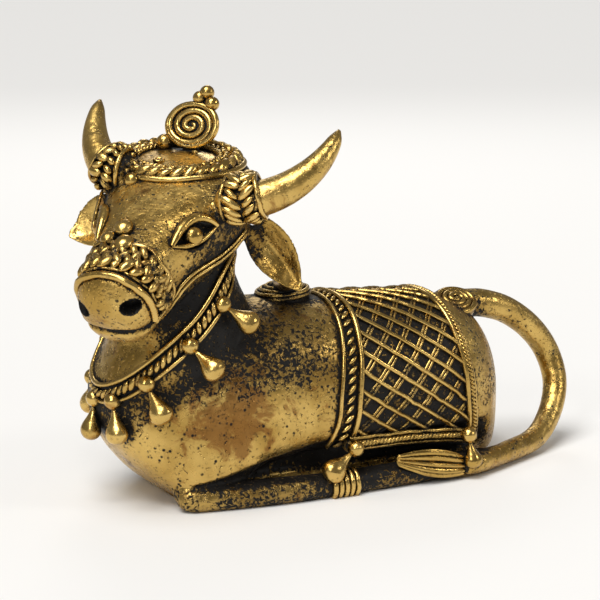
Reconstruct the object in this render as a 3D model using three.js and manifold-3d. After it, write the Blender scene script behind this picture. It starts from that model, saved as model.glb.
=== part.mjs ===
// A recumbent Nandi bull, cast in brass from a model laid up in wax threads.
// Millimetres. X runs from the chest to the tail, Y to the bull's right and Z up.
// The origin ends at the middle of the figure's footprint, on the ground.
import * as THREE from 'three';
import { mergeVertices } from 'three/addons/utils/BufferGeometryUtils.js';
import Module from 'manifold-3d';

const wasm = await Module();
wasm.setup();

// Torso
const torsoLength = 115;
const torsoWidth = 44;
const backHeight = 49;

// Neck and head
const pollHeight = 79.7;
const pollAhead = 37.1;
const pollOffset = 6;
const headTurn = 38;
const headDip = 42;
const headRoll = 5;
const headLength = 44;
const headWidth = 34;
const headDepth = 26;
const muzzleShift = 0.07;

// Horns and ears
const leftHornSpread = 20.5;
const rightHornSpread = 12.5;
const leftHornRise = 23;
const rightHornRise = 20.5;
const hornThickness = 9;
const hornTipThickness = 2.2;
const leftSleeveLength = 8.5;
const rightSleeveLength = 6;
const leftSleeveThickness = 11;
const rightSleeveThickness = 11.5;
const sleeveRise = 1;
const leftEarWidth = 10.5;
const rightEarWidth = 13;
const earThickness = 1.8;
const earCup = 2.5;

// Legs
const shankThickness = 6.5;
const shankSpread = 20;
const ankletThickness = 8;
const ankletWires = 4;
const ankletPitch = 0.0165;

// Tail
const tailThickness = 8;
const tailReach = 20;
const tuftLength = 23;
const tuftWidth = 7.5;

// Crown and crest
const crownWidth = 33;
const crownDepth = 26.5;
const crownTilt = 31;
const crestSize = 14.8;
const crestSquat = 0.8;
const crestThickness = 3;
const coilTurns = 2.1;
const crestLean = 18;

// Eyes: place along the head, degrees round it, and the ball's size
const eyeAlong = 0.36;
const eyeRound = 48;
const faceMiddle = -6;
const nosebandRound = 100;
const eyeSize = 4;

// Hump and collar
const humpWidth = 14;
const stalkThickness = 4;
const collarFront = 0.25;
const collarBack = 0.68;
const collarWidth = 4.4;
const dropPitch = 0.075;

// Saddle cloth
const clothStart = 0.547;
const clothLean = 3;
const clothRearLean = -3.5;
const clothHeight = 0.8;
const clothLength = 32;
const clothDrop = 47;
const spineGap = 0.3;
const bandWidth = 5.4;
const hemWidth = 2.8;
const ribPitch = 5;
const ribFall = 31;
const ribWidth = 1.1;
const ribHeight = 1.1;

// Threads, ropes, balls and drops
const wireWidth = 1.3;
const wireHeight = 1;
const ballSize = 4.2;
const dropLength = 10.5;
const dropWidth = 5.6;
const tailCoilWidth = 9.5;
const sink = 1.2;

const rad = THREE.MathUtils.degToRad;
const vec = (x, y, z) => new THREE.Vector3(x, y, z);
const up = vec(0, 0, 1);

// A point moved along pairs of a direction and a distance.
function moved(point, ...steps) {
  return steps.reduce((place, [way, far]) => place.addScaledVector(way, far), point.clone());
}
// The values of a function at evenly counted places.
const times = (count, make) => Array.from({ length: count }, (_, i) => make(i));

// Rows hold a place and the values there. This reads the values at any place between, smoothly.
function between(rows, place) {
  const last = rows.length - 1;
  let i = 0;
  while (i < last - 1 && place > rows[i + 1][0]) i += 1;
  const [a, b] = [rows[i], rows[i + 1]];
  const gap = b[0] - a[0];
  const t = THREE.MathUtils.clamp((place - a[0]) / gap, 0, 1);
  const before = rows[Math.max(i - 1, 0)];
  const after = rows[Math.min(i + 2, last)];
  return a.slice(1).map((_, k) => {
    const j = k + 1;
    const leave = i === 0 ? (b[j] - a[j]) / gap : (b[j] - before[j]) / (b[0] - before[0]);
    const reach = i === last - 1 ? (b[j] - a[j]) / gap : (after[j] - a[j]) / (after[0] - a[0]);
    const [t2, t3] = [t * t, t * t * t];
    return (2 * t3 - 3 * t2 + 1) * a[j] + (t3 - 2 * t2 + t) * gap * leave
      + (3 * t2 - 2 * t3) * b[j] + (t3 - t2) * gap * reach;
  });
}

const signedPower = (value, power) => Math.sign(value) * Math.abs(value) ** power;

// A closed body through rings with the same number of points, or a closed loop of them. A
// sheet's rings run along one face and back along the other, so its ends close straight across.
function loft(rings, { loop = false, sheet = false } = {}) {
  const sides = rings[0].length;
  const points = rings.flat();
  const faces = [];
  const spans = loop ? rings.length : rings.length - 1;
  for (let i = 0; i < spans; i += 1) {
    const next = (i + 1) % rings.length;
    for (let j = 0; j < sides; j += 1) {
      const k = (j + 1) % sides;
      const [a, b, c, d] = [i * sides + j, i * sides + k, next * sides + k, next * sides + j];
      faces.push(a, b, c, a, c, d);
    }
  }
  const ends = loop ? [] : [[0, true], [rings.length - 1, false]];
  for (const [ring, turned] of ends) {
    const cap = sheet ? sheetCap(ring * sides, sides) : fanCap(rings[ring], ring * sides, points);
    for (const [a, b, c] of cap) faces.push(...(turned ? [a, c, b] : [a, b, c]));
  }
  return facingOut(points, faces);
}
function fanCap(ring, first, points) {
  const centre = points.length;
  points.push(ring.reduce((sum, p) => sum.add(p), vec(0, 0, 0)).divideScalar(ring.length));
  return ring.map((_, j) => [centre, first + j, first + ((j + 1) % ring.length)]);
}
function sheetCap(first, sides) {
  const faces = [];
  for (let j = 0; j < sides / 2 - 1; j += 1) {
    const [a, b] = [first + j, first + j + 1];
    const [c, d] = [first + sides - 2 - j, first + sides - 1 - j];
    faces.push([a, b, c], [a, c, d]);
  }
  return faces;
}

// A geometry with its faces turned outwards.
function facingOut(points, faces) {
  let volume = 0;
  for (let i = 0; i < faces.length; i += 3) {
    const [a, b, c] = [0, 1, 2].map((k) => points[faces[i + k]]);
    volume += a.dot(b.clone().cross(c));
  }
  const index = volume > 0 ? faces : faces.slice().reverse();
  const geometry = new THREE.BufferGeometry();
  geometry.setAttribute('position', new THREE.Float32BufferAttribute(points.flatMap((p) => p.toArray()), 3));
  geometry.setIndex(index);
  return geometry;
}

// Directions along a path.
function tangents(path, loop = false) {
  const last = path.length - 1;
  return path.map((_, i) => {
    const before = path[loop ? (i + last) % path.length : Math.max(i - 1, 0)];
    const after = path[loop ? (i + 1) % path.length : Math.min(i + 1, last)];
    return after.point.clone().sub(before.point).normalize();
  });
}

// A raised strip on a surface. The outline gives, for each step, its points across the strip
// and out of the surface.
function strip(path, outlineAt, loop = false) {
  const ways = tangents(path, loop);
  return loft(path.map(({ point, normal }, i) => {
    const side = normal.clone().cross(ways[i]).normalize();
    return outlineAt(i).map(([across, out]) => moved(point, [side, across], [normal, out]));
  }), { loop });
}
const thread = (path, width = wireWidth, height = wireHeight, foot = sink) => strip(
  path, () => [[-width / 2, -foot], [0, height], [width / 2, -foot]]);

// A band: a wire along each edge and a rope of slanted beads between them.
function band(path, width, ropeHeight, loop = false) {
  const w = width / 2;
  const edge = wireWidth * 0.6;
  return strip(path, (i) => {
    const [front, rear] = i % 2 ? [0.6, ropeHeight] : [ropeHeight, 0.6];
    return [[-w - edge, -sink], [-w, wireHeight], [-0.35 * w, front],
      [0.35 * w, rear], [w, wireHeight], [w + edge, -sink]];
  }, loop);
}

// A thick sheet over a surface, through rows of places, raised by a height for each of them.
function sheetOver(rows, heightAt, foot = sink) {
  return loft(rows.map((row, i) => {
    const face = row.map(({ point, normal }, j) => moved(point, [normal, heightAt(i, j)]));
    const back = row.map(({ point, normal }) => moved(point, [normal, -foot]));
    return [...face, ...back.reverse()];
  }), { sheet: true });
}

// A round bar along a path, with its own thickness at each point.
function bar(path, thicknessAt, sides) {
  const ways = tangents(path);
  return loft(path.map(({ point, normal }, i) => {
    const side = normal.clone().cross(ways[i]).normalize();
    const out = ways[i].clone().cross(side);
    const r = thicknessAt(i / (path.length - 1)) / 2;
    return times(sides, (j) => {
      const a = (2 * Math.PI * (j + 0.5)) / sides;
      return moved(point, [side, r * Math.cos(a)], [out, r * Math.sin(a)]);
    });
  }));
}

// Points of a smooth curve through a few chosen ones, all with the same normal.
function curve(points, steps, normal = up) {
  const line = new THREE.CatmullRomCurve3(points, false, 'centripetal');
  return line.getSpacedPoints(steps).map((point) => ({ point, normal }));
}

// Turns Y to an axis and Z near a facing direction, and moves to a place.
function stand(geometry, place, axis, facing = up) {
  const y = axis.clone().normalize();
  const x = y.clone().cross(facing).normalize();
  const z = x.clone().cross(y);
  return geometry.applyMatrix4(new THREE.Matrix4().makeBasis(x, y, z).setPosition(place));
}

function ball(place, size) {
  return new THREE.OctahedronGeometry(size / 2, 1).translate(...place.toArray());
}

// A ball and the drop that hangs from it: a thin neck that swells to a round bulb.
function drop(place, way, normal, length = dropLength, width = dropWidth) {
  const r = ballSize / 2;
  const profile = [[0, -r], [0.95 * r, -0.2 * r], [0.16 * width, 1.05 * r],
    [0.48 * width, 0.6 * length], [0.44 * width, 0.88 * length], [0, length]];
  const geometry = new THREE.LatheGeometry(profile.map(([x, y]) => new THREE.Vector2(x, y)), 6);
  return stand(geometry, place, way, normal);
}

function solid(geometry) {
  const bare = geometry.clone();
  bare.deleteAttribute('normal');
  bare.deleteAttribute('uv');
  const merged = mergeVertices(bare, 1e-4);
  return new wasm.Manifold(new wasm.Mesh({
    numProp: 3,
    vertProperties: new Float32Array(merged.attributes.position.array),
    triVerts: new Uint32Array(merged.index.array),
  }));
}

// A point and its outward normal on a surface that is given by two numbers.
function spot(surface, u, a, lift = 0) {
  const step = 0.004;
  const point = surface.at(u, a);
  const along = surface.at(u + step, a).sub(surface.at(u - step, a));
  const round = surface.at(u, a + step).sub(surface.at(u, a - step));
  const normal = along.cross(round).normalize();
  if (normal.dot(point.clone().sub(surface.middle(u))) < 0) normal.negate();
  return { point: point.addScaledVector(normal, lift), normal };
}

// A path over a surface, from a function that gives its two numbers.
function track(surface, steps, route, lift = 0) {
  return times(steps + 1, (i) => spot(surface, ...route(i / steps), lift));
}

// A surface as a closed body, with its rings closer together near the ends.
function skin(surface, rings, sides) {
  return loft(times(rings, (i) => {
    const share = 0.5 - 0.5 * Math.cos((Math.PI * (i + 0.6)) / (rings + 0.2));
    const u = surface.from + (surface.to - surface.from) * share;
    return times(sides, (j) => surface.at(u, (2 * Math.PI * j) / sides));
  }));
}

// The torso's shape: share of its length, then low edge, broadest place and back as shares of
// the back's height, its width as a share of the full width, and how square its underside is.
const torsoShape = [
  [0, 0.5, 0.57, 0.63, 0.02, 0.66], [0.02, 0.38, 0.55, 0.72, 0.4, 0.66], [0.06, 0.23, 0.53, 0.85, 0.66, 0.6],
  [0.13, 0.07, 0.48, 0.95, 0.87, 0.5], [0.2, 0.02, 0.46, 0.99, 0.97, 0.42], [0.3, 0.13, 0.46, 0.99, 1, 0.5],
  [0.42, 0.16, 0.46, 0.98, 0.98, 0.62], [0.56, 0.18, 0.45, 0.96, 0.97, 0.66],
  [0.72, 0.17, 0.45, 0.94, 0.98, 0.66], [0.84, 0.12, 0.44, 0.91, 0.93, 0.66],
  [0.91, 0.05, 0.41, 0.83, 0.78, 0.66], [0.96, 0.01, 0.37, 0.68, 0.53, 0.66],
  [0.99, 0.05, 0.33, 0.5, 0.25, 0.66], [1, 0.3, 0.32, 0.36, 0.02, 0.66],
];
const chestX = -0.5 * torsoLength;
const bodyX = (share) => chestX + share * torsoLength;

// Angle 0 is the spine, and it grows towards the bull's left.
const torso = {
  from: 0,
  to: 1,
  middle(u) {
    return vec(bodyX(u), 0, 0.45 * backHeight);
  },
  at(u, a) {
    const [low, mid, top, wide, square] = between(torsoShape, u);
    const half = (wide * torsoWidth) / 2;
    const rise = Math.cos(a) > 0 ? top - mid : mid - low;
    const full = Math.cos(a) > 0 ? 0.86 : square;
    return vec(
      bodyX(u),
      -half * signedPower(Math.sin(a), full),
      backHeight * (mid + rise * signedPower(Math.cos(a), full)),
    );
  },
};

// The belly under the torso's overhanging flanks, down to the ground. Rows: share of the
// torso's length and of its width.
const bellyShape = [
  [0.17, 0.3], [0.2, 0.58], [0.28, 0.66], [0.5, 0.66], [0.8, 0.68], [0.9, 0.6], [0.95, 0.3],
];
const belly = {
  from: 0.17,
  to: 0.95,
  at(u, a) {
    const [wide] = between(bellyShape, u);
    const half = 0.3 * backHeight;
    return vec(
      bodyX(u),
      (-wide * torsoWidth * signedPower(Math.sin(a), 0.6)) / 2,
      half * (0.85 + signedPower(Math.cos(a), 0.5)),
    );
  },
};

// The neck rises from inside the chest to the poll. Its rings tip forwards where it leaves the
// chest. Rows: share of the way up, ahead, tilt, half depth, half width.
const poll = vec(-pollAhead, -pollOffset, pollHeight);
const neckShape = [
  [0, 0.94, 20, 20, 14], [0.28, 1.01, 25, 21.3, 17.8], [0.43, 1, 22, 17.3, 17], [0.59, 1.02, 17, 15, 15],
  [0.75, 1, 8, 15, 14], [0.9, 0.95, 0, 11, 11],
];
const neckFoot = 0.49 * backHeight;
const neck = {
  from: 0,
  to: 0.9,
  middle(u) {
    const [ahead] = between(neckShape, u);
    return vec(-pollAhead * ahead, -pollOffset * (0.25 + 0.75 * u), neckFoot + (pollHeight - neckFoot) * u);
  },
  at(u, a) {
    const [, tilt, deep, wide] = between(neckShape, u);
    const turn = rad(headTurn) * u * u;
    const front = vec(-Math.cos(turn), -Math.sin(turn), 0).multiplyScalar(Math.cos(rad(tilt)));
    front.z = -Math.sin(rad(tilt));
    const left = vec(Math.sin(turn), -Math.cos(turn), 0);
    return moved(this.middle(u), [front, deep * Math.cos(a)], [left, wide * Math.sin(a)]);
  },
};

// The head's own axes: h to the muzzle, l to the bull's left and n out of the face.
const headAxes = (() => {
  const turn = rad(headTurn);
  const dip = rad(headDip);
  const roll = rad(headRoll);
  const none = vec(0, 0, 0);
  const ahead = vec(-Math.cos(turn), -Math.sin(turn), 0);
  const left = vec(Math.sin(turn), -Math.cos(turn), 0);
  const level = moved(none, [ahead, Math.sin(dip)], [up, Math.cos(dip)]);
  return {
    h: moved(none, [ahead, Math.cos(dip)], [up, -Math.sin(dip)]),
    l: moved(none, [left, Math.cos(roll)], [level, -Math.sin(roll)]),
    n: moved(none, [level, Math.cos(roll)], [left, Math.sin(roll)]),
  };
})();

// Head places are shares: along the length, out to the side of the half width, out of the face
// of the depth.
const headWay = (along, side, out) => moved(
  vec(0, 0, 0), [headAxes.h, along], [headAxes.l, side], [headAxes.n, out]);
const headSpot = (along, side, out) => headWay(
  along * headLength, (side * headWidth) / 2, out * headDepth).add(poll);

// Rows: share of the length from the poll, jaw, broadest place and face as shares of the
// depth, and width as a share of the full width.
const headShape = [
  [-0.39, -0.5, -0.4, -0.3, 0.03], [-0.36, -0.62, -0.4, -0.25, 0.5], [-0.27, -0.75, -0.3, -0.13, 0.8],
  [-0.12, -0.82, -0.22, 0.02, 0.98], [0.07, -0.82, -0.2, 0.16, 1.02], [0.2, -0.8, -0.18, 0.2, 0.97],
  [0.38, -0.74, -0.15, 0.25, 0.84], [0.55, -0.64, -0.1, 0.31, 0.66], [0.7, -0.52, -0.04, 0.36, 0.6],
  [0.86, -0.42, 0, 0.38, 0.655], [0.94, -0.36, -0.02, 0.28, 0.58], [0.985, -0.28, -0.04, 0.16, 0.36],
  [1, -0.15, -0.05, 0.04, 0.05],
];
// Angle 0 is the face's ridge, and it grows towards the bull's left.
const head = {
  from: -0.39,
  to: 1,
  middle(u) {
    return headSpot(u, 0, -0.2);
  },
  at(u, a) {
    const [low, mid, top, wide] = between(headShape, u);
    const rise = Math.cos(a) > 0 ? top - mid : mid - low;
    const side = muzzleShift * Math.max(u, 0) ** 2 + wide * signedPower(Math.sin(a), 0.75);
    return headSpot(u, side, mid + rise * signedPower(Math.cos(a), 0.75));
  },
};

// A horn sweeps out of the side of the head, then up. Side is 1 on the bull's left.
const horns = {
  1: { along: 0.12, out: 0.9, spread: leftHornSpread, rise: leftHornRise },
  '-1': { along: 0.03, out: 0.74, spread: rightHornSpread, rise: rightHornRise },
};
function hornPath(side) {
  const { along, out, spread, rise } = horns[side];
  const steps = 7;
  return times(steps + 1, (i) => {
    const t = i / steps;
    const turn = (Math.PI / 2) * t;
    const far = spread * Math.sin(turn) + 1.5 * t;
    const away = headWay(-rise * (1 - Math.cos(turn)), side * far, 3 * t ** 2);
    return { point: headSpot(along, side * out, 0.06).add(away), normal: headAxes.n };
  });
}
function horn(side) {
  const taper = (t) => hornTipThickness + (hornThickness - hornTipThickness) * (1 - t ** 2.2) ** 0.9;
  return bar(hornPath(side), taper, 6);
}

// The braided sleeve round the root of a horn: a ring at each end and slanted leaves between.
// Rows: share of the sleeve's length, how far it stands out or in, and the leaves' alternate swell.
const sleeveWave = [
  [0, 0.25, 0], [0.06, 0.25, 0], [0.3, -0.45, 0.45], [0.5, 0.3, -0.45], [0.72, -0.45, 0.45],
  [0.92, 0.25, 0], [1, 0.25, 0],
];
function sleeve(side) {
  const line = new THREE.CatmullRomCurve3(hornPath(side).map(({ point }) => point));
  const [length, radius] = side > 0
    ? [leftSleeveLength, leftSleeveThickness / 2] : [rightSleeveLength, rightSleeveThickness / 2];
  const long = length / line.getLength();
  const sides = 8;
  const ring = (place, way, r, leaf) => {
    const first = headAxes.n.clone().cross(way).normalize();
    const second = way.clone().cross(first);
    return times(sides, (j) => {
      const a = (2 * Math.PI * j) / sides;
      const out = r + (j % 2 ? leaf : -leaf);
      return moved(place, [first, out * Math.cos(a)], [second, out * Math.sin(a)]);
    });
  };
  const rings = sleeveWave.map(([share, swell, leaf]) => ring(
    moved(line.getPointAt(share * long), [headAxes.h, -sleeveRise]),
    line.getTangentAt(share * long), radius + swell, leaf));
  const inside = line.getPointAt(0).add(headWay(0, -side * 4, -5));
  return loft([ring(inside, line.getTangentAt(0), radius - 3, 0), ...rings]);
}

// An ear is a leaf, cupped towards the front, that hangs from under the sleeve.
function ear({ root, tip, width }, facing) {
  const axis = tip.clone().sub(root);
  const long = axis.length();
  axis.normalize();
  const across = axis.clone().cross(facing).normalize();
  const out = across.clone().cross(axis).normalize();
  const rings = 6;
  const sides = 4;
  return loft(times(rings + 1, (i) => {
    const t = i / rings;
    const belly = 0.9 * Math.sin(Math.PI * Math.min(1, t * 0.82 + 0.16)) ** 0.9;
    const half = (width / 2) * (0.22 * (1 - t) + belly);
    const curl = 1.5 * t * t;
    const sheet = (lift) => times(sides + 1, (j) => {
      const v = (2 * j) / sides - 1;
      const cup = earCup * (1 - v * v) * Math.sin(Math.PI * (0.15 + 0.8 * t));
      return moved(root, [axis, long * t], [across, half * v], [out, curl - cup + lift * (1 - 0.6 * v * v)]);
    });
    return [...sheet(0.5 * earThickness), ...sheet(-0.5 * earThickness).reverse()];
  }), { sheet: true });
}

// Legs: a forearm from the shoulder to the knee, then the shank along the ground, the wires of
// the anklet and the hind foot in one line. The far knee lies a little further back. Rows: share
// of the torso's length, of the shanks' spread, height, and thickness in shanks.
function legs(side) {
  const back = side > 0 ? 0 : 0.05;
  const ground = (0.5 * shankThickness - 0.3) / backHeight;
  const arm = [
    [0.4 + back, 0.5, 0.4, 2.6], [0.31 + back, 0.62, 0.31, 2.7], [0.23 + back, 0.73, 0.19, 2.1],
    [0.17 + back, 0.8, 0.1, 1.4], [0.14 + back, 0.76, 0.07, 0.7],
  ];
  const shank = [[0.14 + back, 0.84, ground, 0.6], [0.17 + back, 0.9, ground, 0.95], [0.35, 1.06, ground, 1]];
  const anklet = times(ankletWires, (i) => 0.487 + ankletPitch * (i + (i > 1 ? 0.26 : 0)));
  for (const share of anklet) {
    shank.push([share - 0.008, 1.1, ground, 0.92], [share, 1.1, ground, ankletThickness / shankThickness]);
  }
  shank.push([0.55, 1.1, ground, 0.9], [0.75, 1.06, ground, 0.9], [0.89, 0.92, ground, 0.8]);
  const limb = (rows, sides) => bar(
    rows.map(([share, out, high]) => (
      { point: vec(bodyX(share), -side * shankSpread * out, high * backHeight), normal: up })),
    (t) => shankThickness * rows[Math.round(t * (rows.length - 1))][3], sides);
  return [limb(arm, 8), limb(shank, 6)];
}

// The tail leaves the rump level, drops round in a wide loop and comes back along the left.
function tail() {
  const point = (out, side, high) => vec(bodyX(1) + out * tailReach, -side, high * backHeight);
  const way = curve([
    point(-0.75, 0, 0.84), point(-0.4, 0, 0.83), point(-0.1, 0, 0.82), point(0.3, 0, 0.765),
    point(0.7, 0, 0.65), point(0.99, 0, 0.5), point(1.03, 3, 0.34), point(0.82, 7, 0.19),
    point(0.4, 12, 0.085), point(-0.3, 18.5, 0.07), point(-0.9, 24, 0.07),
  ], 16, vec(0, 1, 0));
  return bar(way, (t) => tailThickness * (1 - 0.26 * t), 8);
}

// The tuft is a flat ridged leaf that lies along the hind foot.
function tuft() {
  const start = vec(bodyX(0.83), -1.22 * shankSpread, 0.075 * backHeight);
  const end = moved(start, [vec(-tuftLength, 0.4, 0.075 * backHeight), 1]);
  const rings = 6;
  const sides = 12;
  return loft(times(rings, (i) => {
    const t = i / (rings - 1);
    const leaf = 0.3 + 0.7 * Math.sin(Math.PI * (0.12 + 0.8 * t));
    const high = (tuftWidth / 2) * leaf * (t < 1 ? 1 : 0.3);
    const middle = start.clone().lerp(end, t);
    middle.y -= 0.6 * Math.sin(Math.PI * t);
    return times(sides, (j) => {
      const a = (2 * Math.PI * j) / sides;
      const r = high * (j % 2 ? 1.12 : 0.86);
      return moved(middle, [up, r * Math.sin(a)], [vec(0, 1, 0), 0.5 * r * Math.cos(a)]);
    });
  }));
}

// The angle on a surface at a distance from its ridge, measured round the surface.
function angleAt(surface, u, arc) {
  const step = rad(3);
  let length = 0;
  let a = 0;
  let last = surface.at(u, 0);
  while (a < Math.PI) {
    const next = surface.at(u, a + step);
    const piece = next.distanceTo(last);
    if (length + piece >= arc) return a + (step * (arc - length)) / piece;
    length += piece;
    a += step;
    last = next;
  }
  return Math.PI;
}

// The saddle cloth. A place on it is a distance behind its front edge and a distance down
// from the spine, on the side that is given. Its front edge leans back towards the spine, its
// rear edge forward. Its two sides nearly meet at the spine.
function clothPlace(back, down, side) {
  const rough = clothStart + back / torsoLength;
  const a = angleAt(torso, rough, down);
  const lean = THREE.MathUtils.lerp(clothLean, clothRearLean, back / clothLength);
  return spot(torso, rough + (lean * Math.cos(a)) / torsoLength, side * a);
}

// The lattice of one side: each slanted rib is three rows of the sheet, its crest and its feet.
function lattice(side) {
  const slope = Math.tan(rad(ribFall));
  const columns = 3;
  const rows = [];
  const heights = [];
  const addRow = (first, height) => {
    const from = THREE.MathUtils.clamp((spineGap - first) / slope, 0, clothLength);
    const to = THREE.MathUtils.clamp((clothDrop - first) / slope, 0, clothLength);
    if (to - from < ribWidth) return;
    rows.push(times(columns + 1, (j) => {
      const back = THREE.MathUtils.lerp(from, to, j / columns);
      return clothPlace(back, first + slope * back, side);
    }));
    heights.push(height);
  };
  for (let first = ribPitch / 2 - clothLength * slope; first < clothDrop; first += ribPitch) {
    addRow(first - ribWidth / 2, clothHeight);
    addRow(first, clothHeight + ribHeight);
    addRow(first + ribWidth / 2, clothHeight);
  }
  return sheetOver(rows, (i) => heights[i], 1.5);
}

// Paths on the cloth: over the back from hem to hem, and along a hem.
function overBack(back, steps) {
  return times(steps + 1, (i) => {
    const down = ((2 * i) / steps - 1) * (clothDrop + 1.5);
    return clothPlace(back, Math.abs(down), Math.sign(down) || 1);
  });
}
function alongHem(side, steps) {
  return times(steps + 1, (i) => clothPlace(
    -1 + ((clothLength + 3) * i) / steps, clothDrop + 0.5 * hemWidth, side));
}
function cloth() {
  const pieces = [
    band(overBack(-bandWidth / 2, 22), bandWidth, 1), thread(overBack(clothLength + 1, 14), hemWidth, 1.1),
  ];
  for (const side of [1, -1]) {
    const front = clothPlace(-0.5, clothDrop + 1, side);
    const rear = clothPlace(clothLength + 3, clothDrop - 1, side);
    const forward = vec(-1, -0.14 * side, -0.56);
    pieces.push(
      lattice(side),
      thread(alongHem(side, 8), hemWidth, 1.1),
      drop(front.point, forward, front.normal, dropLength * 1.15, dropWidth * 1.1),
      drop(rear.point, vec(0.04, -0.1 * side, -1), rear.normal),
    );
  }
  return pieces;
}

// The collar lies round the foot of the neck: two wires with a rope between, and balls with
// hanging drops along its lower wire.
const collarWay = (shift) => (t) => [
  THREE.MathUtils.lerp(collarFront, collarBack, (1 - Math.cos(2 * Math.PI * t)) / 2) + shift, 2 * Math.PI * t,
];
function collar() {
  const steps = 24;
  const half = (0.5 * collarWidth) / (pollHeight - neckFoot);
  const pieces = [band(track(neck, steps, collarWay(0)).slice(0, steps), collarWidth, 0.9, true)];
  for (let i = -3; i <= 4; i += 1) {
    const t = (i - 0.27) * dropPitch;
    const here = spot(neck, ...collarWay(-half)(t), 0.9);
    const next = spot(neck, ...collarWay(-half)(t + 0.01));
    const along = next.point.sub(here.point).normalize();
    const down = here.normal.clone().cross(along).normalize();
    if (down.z > 0) down.negate();
    const hang = 0.7 * Math.cos(2 * Math.PI * t) ** 2;
    pieces.push(drop(here.point, moved(down, [here.normal, 0.35], [up, -hang]), here.normal));
  }
  return pieces;
}

// The crown of the head is a low dome inside a braided ring.
const crown = (() => {
  const tilt = rad(crownTilt);
  const back = headWay(-Math.cos(tilt), 0, -Math.sin(tilt));
  const top = headWay(-Math.sin(tilt), 0, Math.cos(tilt));
  const centre = headSpot(0.07, -0.16, 0.15).addScaledVector(back, crownDepth / 2);
  return { back, top, centre };
})();
// Angle 0 is the front, and it grows towards the bull's left.
const crownSpot = (a, share, lift) => moved(
  crown.centre,
  [headAxes.l, (share * crownWidth * Math.sin(a)) / 2],
  [crown.back, (-share * crownDepth * Math.cos(a)) / 2],
  [crown.top, lift],
);
// Its rings run from the wire under the braid, over the braid and on to the dome.
function crownPieces() {
  const sides = 16;
  const rings = [[0.9, -4.5, 0], [1.1, -3, 0], [1, -1.6, 0], [1, -0.2, 0.08], [0.92, 1, 0], [0.6, 2, 0]];
  const dome = loft(rings.map(([share, lift, swell]) => times(sides, (j) => crownSpot(
    (2 * Math.PI * j) / sides, share + (j % 2 ? swell : 0), lift))));
  return [dome, ball(crownSpot(rad(-16), 1.14, -3.8), ballSize * 0.9)];
}

// The crest is a coiled disc that stands on the crown, with balls on its rim.
function crest() {
  const lean = rad(crestLean);
  const ahead = vec(-Math.cos(rad(headTurn)), -Math.sin(rad(headTurn)), 0);
  const none = vec(0, 0, 0);
  const normal = moved(none, [ahead, Math.cos(lean)], [up, Math.sin(lean)]);
  const high = moved(none, [up, Math.cos(lean)], [ahead, -Math.sin(lean)]);
  const right = high.clone().cross(normal);
  const centre = moved(
    crown.centre, [crown.back, 0.13 * crownDepth], [high, 1.6 + crestSize / 2], [right, 0.025 * crestSize]);
  const place = (across, above) => moved(centre, [right, across * crestSize], [high, above * crestSize]);
  const disc = new THREE.CylinderGeometry(0.5 * crestSize, 0.5 * crestSize, 0.5 * crestThickness, 14);
  disc.scale(1, 1, crestSquat);
  const steps = 17;
  const coil = times(steps + 1, (i) => {
    const turn = rad(90) + (2 * Math.PI * coilTurns * i) / steps;
    const r = THREE.MathUtils.lerp(0.05, 0.4, i / steps);
    return { point: place(r * Math.cos(turn), r * crestSquat * Math.sin(turn)), normal };
  });
  const foot = [-0.35, 0.35].map((across) => ({ point: place(across, -0.46), normal: high }));
  const balls = [[0.07, 0.47, 0.85], [0.31, 0.38, 0.85], [0.19, 0.57, 0.85], [-0.44, -0.35, 1]];
  return [
    stand(disc, centre, normal, high),
    thread(coil, 0.17 * crestSize, 0.55 * crestThickness, -0.2 * crestThickness),
    bar(foot, () => crestThickness, 4),
    ...balls.map(([across, above, size]) => ball(place(across, above), ballSize * size)),
  ];
}

// The hump is a stepped knob of coiled thread, and a short stalk joins it to the ear's tip.
function hump(touching) {
  const r = humpWidth / 2;
  const profile = [[0, -3], [r, -3], [r, 0.6], [0.8 * r, 0.8], [0.75 * r, 2], [0.5 * r, 2.2], [0, 3]];
  const geometry = new THREE.LatheGeometry(profile.map(([x, y]) => new THREE.Vector2(x, y)), 10);
  const place = spot(torso, 0.455, 0, 0.5);
  const pieces = [stand(geometry, place.point, vec(-0.1, 0, 1), vec(1, 0, 0))];
  const top = place.point.clone().add(vec(-1, 0, 2));
  pieces.push(bar(curve([top, touching], 2, vec(1, 0, 0)), () => stalkThickness, 4));
  return pieces;
}

// The tail's root carries a flat coil, with a groove between its turns.
function tailCoil() {
  const r = tailCoilWidth / 2;
  const profile = [[0, -3], [r, -3], [r, 0.9], [0.75 * r, 1.8], [0.5 * r, 0.9], [0.25 * r, 1.9], [0, 1.9]];
  const plate = new THREE.LatheGeometry(profile.map(([x, y]) => new THREE.Vector2(x, y)), 9);
  plate.scale(1, 1, 0.76);
  return stand(plate, vec(bodyX(0.92), -2.4, 0.84 * backHeight), vec(0, -0.55, 0.83), vec(0, 0.83, 0.55));
}

// Eyes: a ball in a hollow between two lids.
function eyes() {
  const pieces = [];
  const hollows = [];
  for (const side of [1, -1]) {
    const centre = spot(head, eyeAlong, side * rad(eyeRound));
    hollows.push(stand(new THREE.SphereGeometry(1, 6, 4).scale(1.8, 4, 1.4), centre.point,
      headWay(1, 0, 0.2), centre.normal));
    pieces.push(ball(spot(head, eyeAlong - 0.01, side * rad(eyeRound), -0.4).point, eyeSize));
    for (const [fold, width] of [[-1, 1.7], [1, 1.3]]) {
      pieces.push(thread(track(head, 4, (t) => {
        const along = Math.cos(Math.PI * t);
        const round = eyeRound + fold * 12 * Math.sin(Math.PI * t) - (along < 0 ? 13 : 6) * along;
        return [eyeAlong + 0.16 * along, side * rad(round)];
      }), width, 0.9));
    }
  }
  return { pieces, hollows };
}

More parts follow.
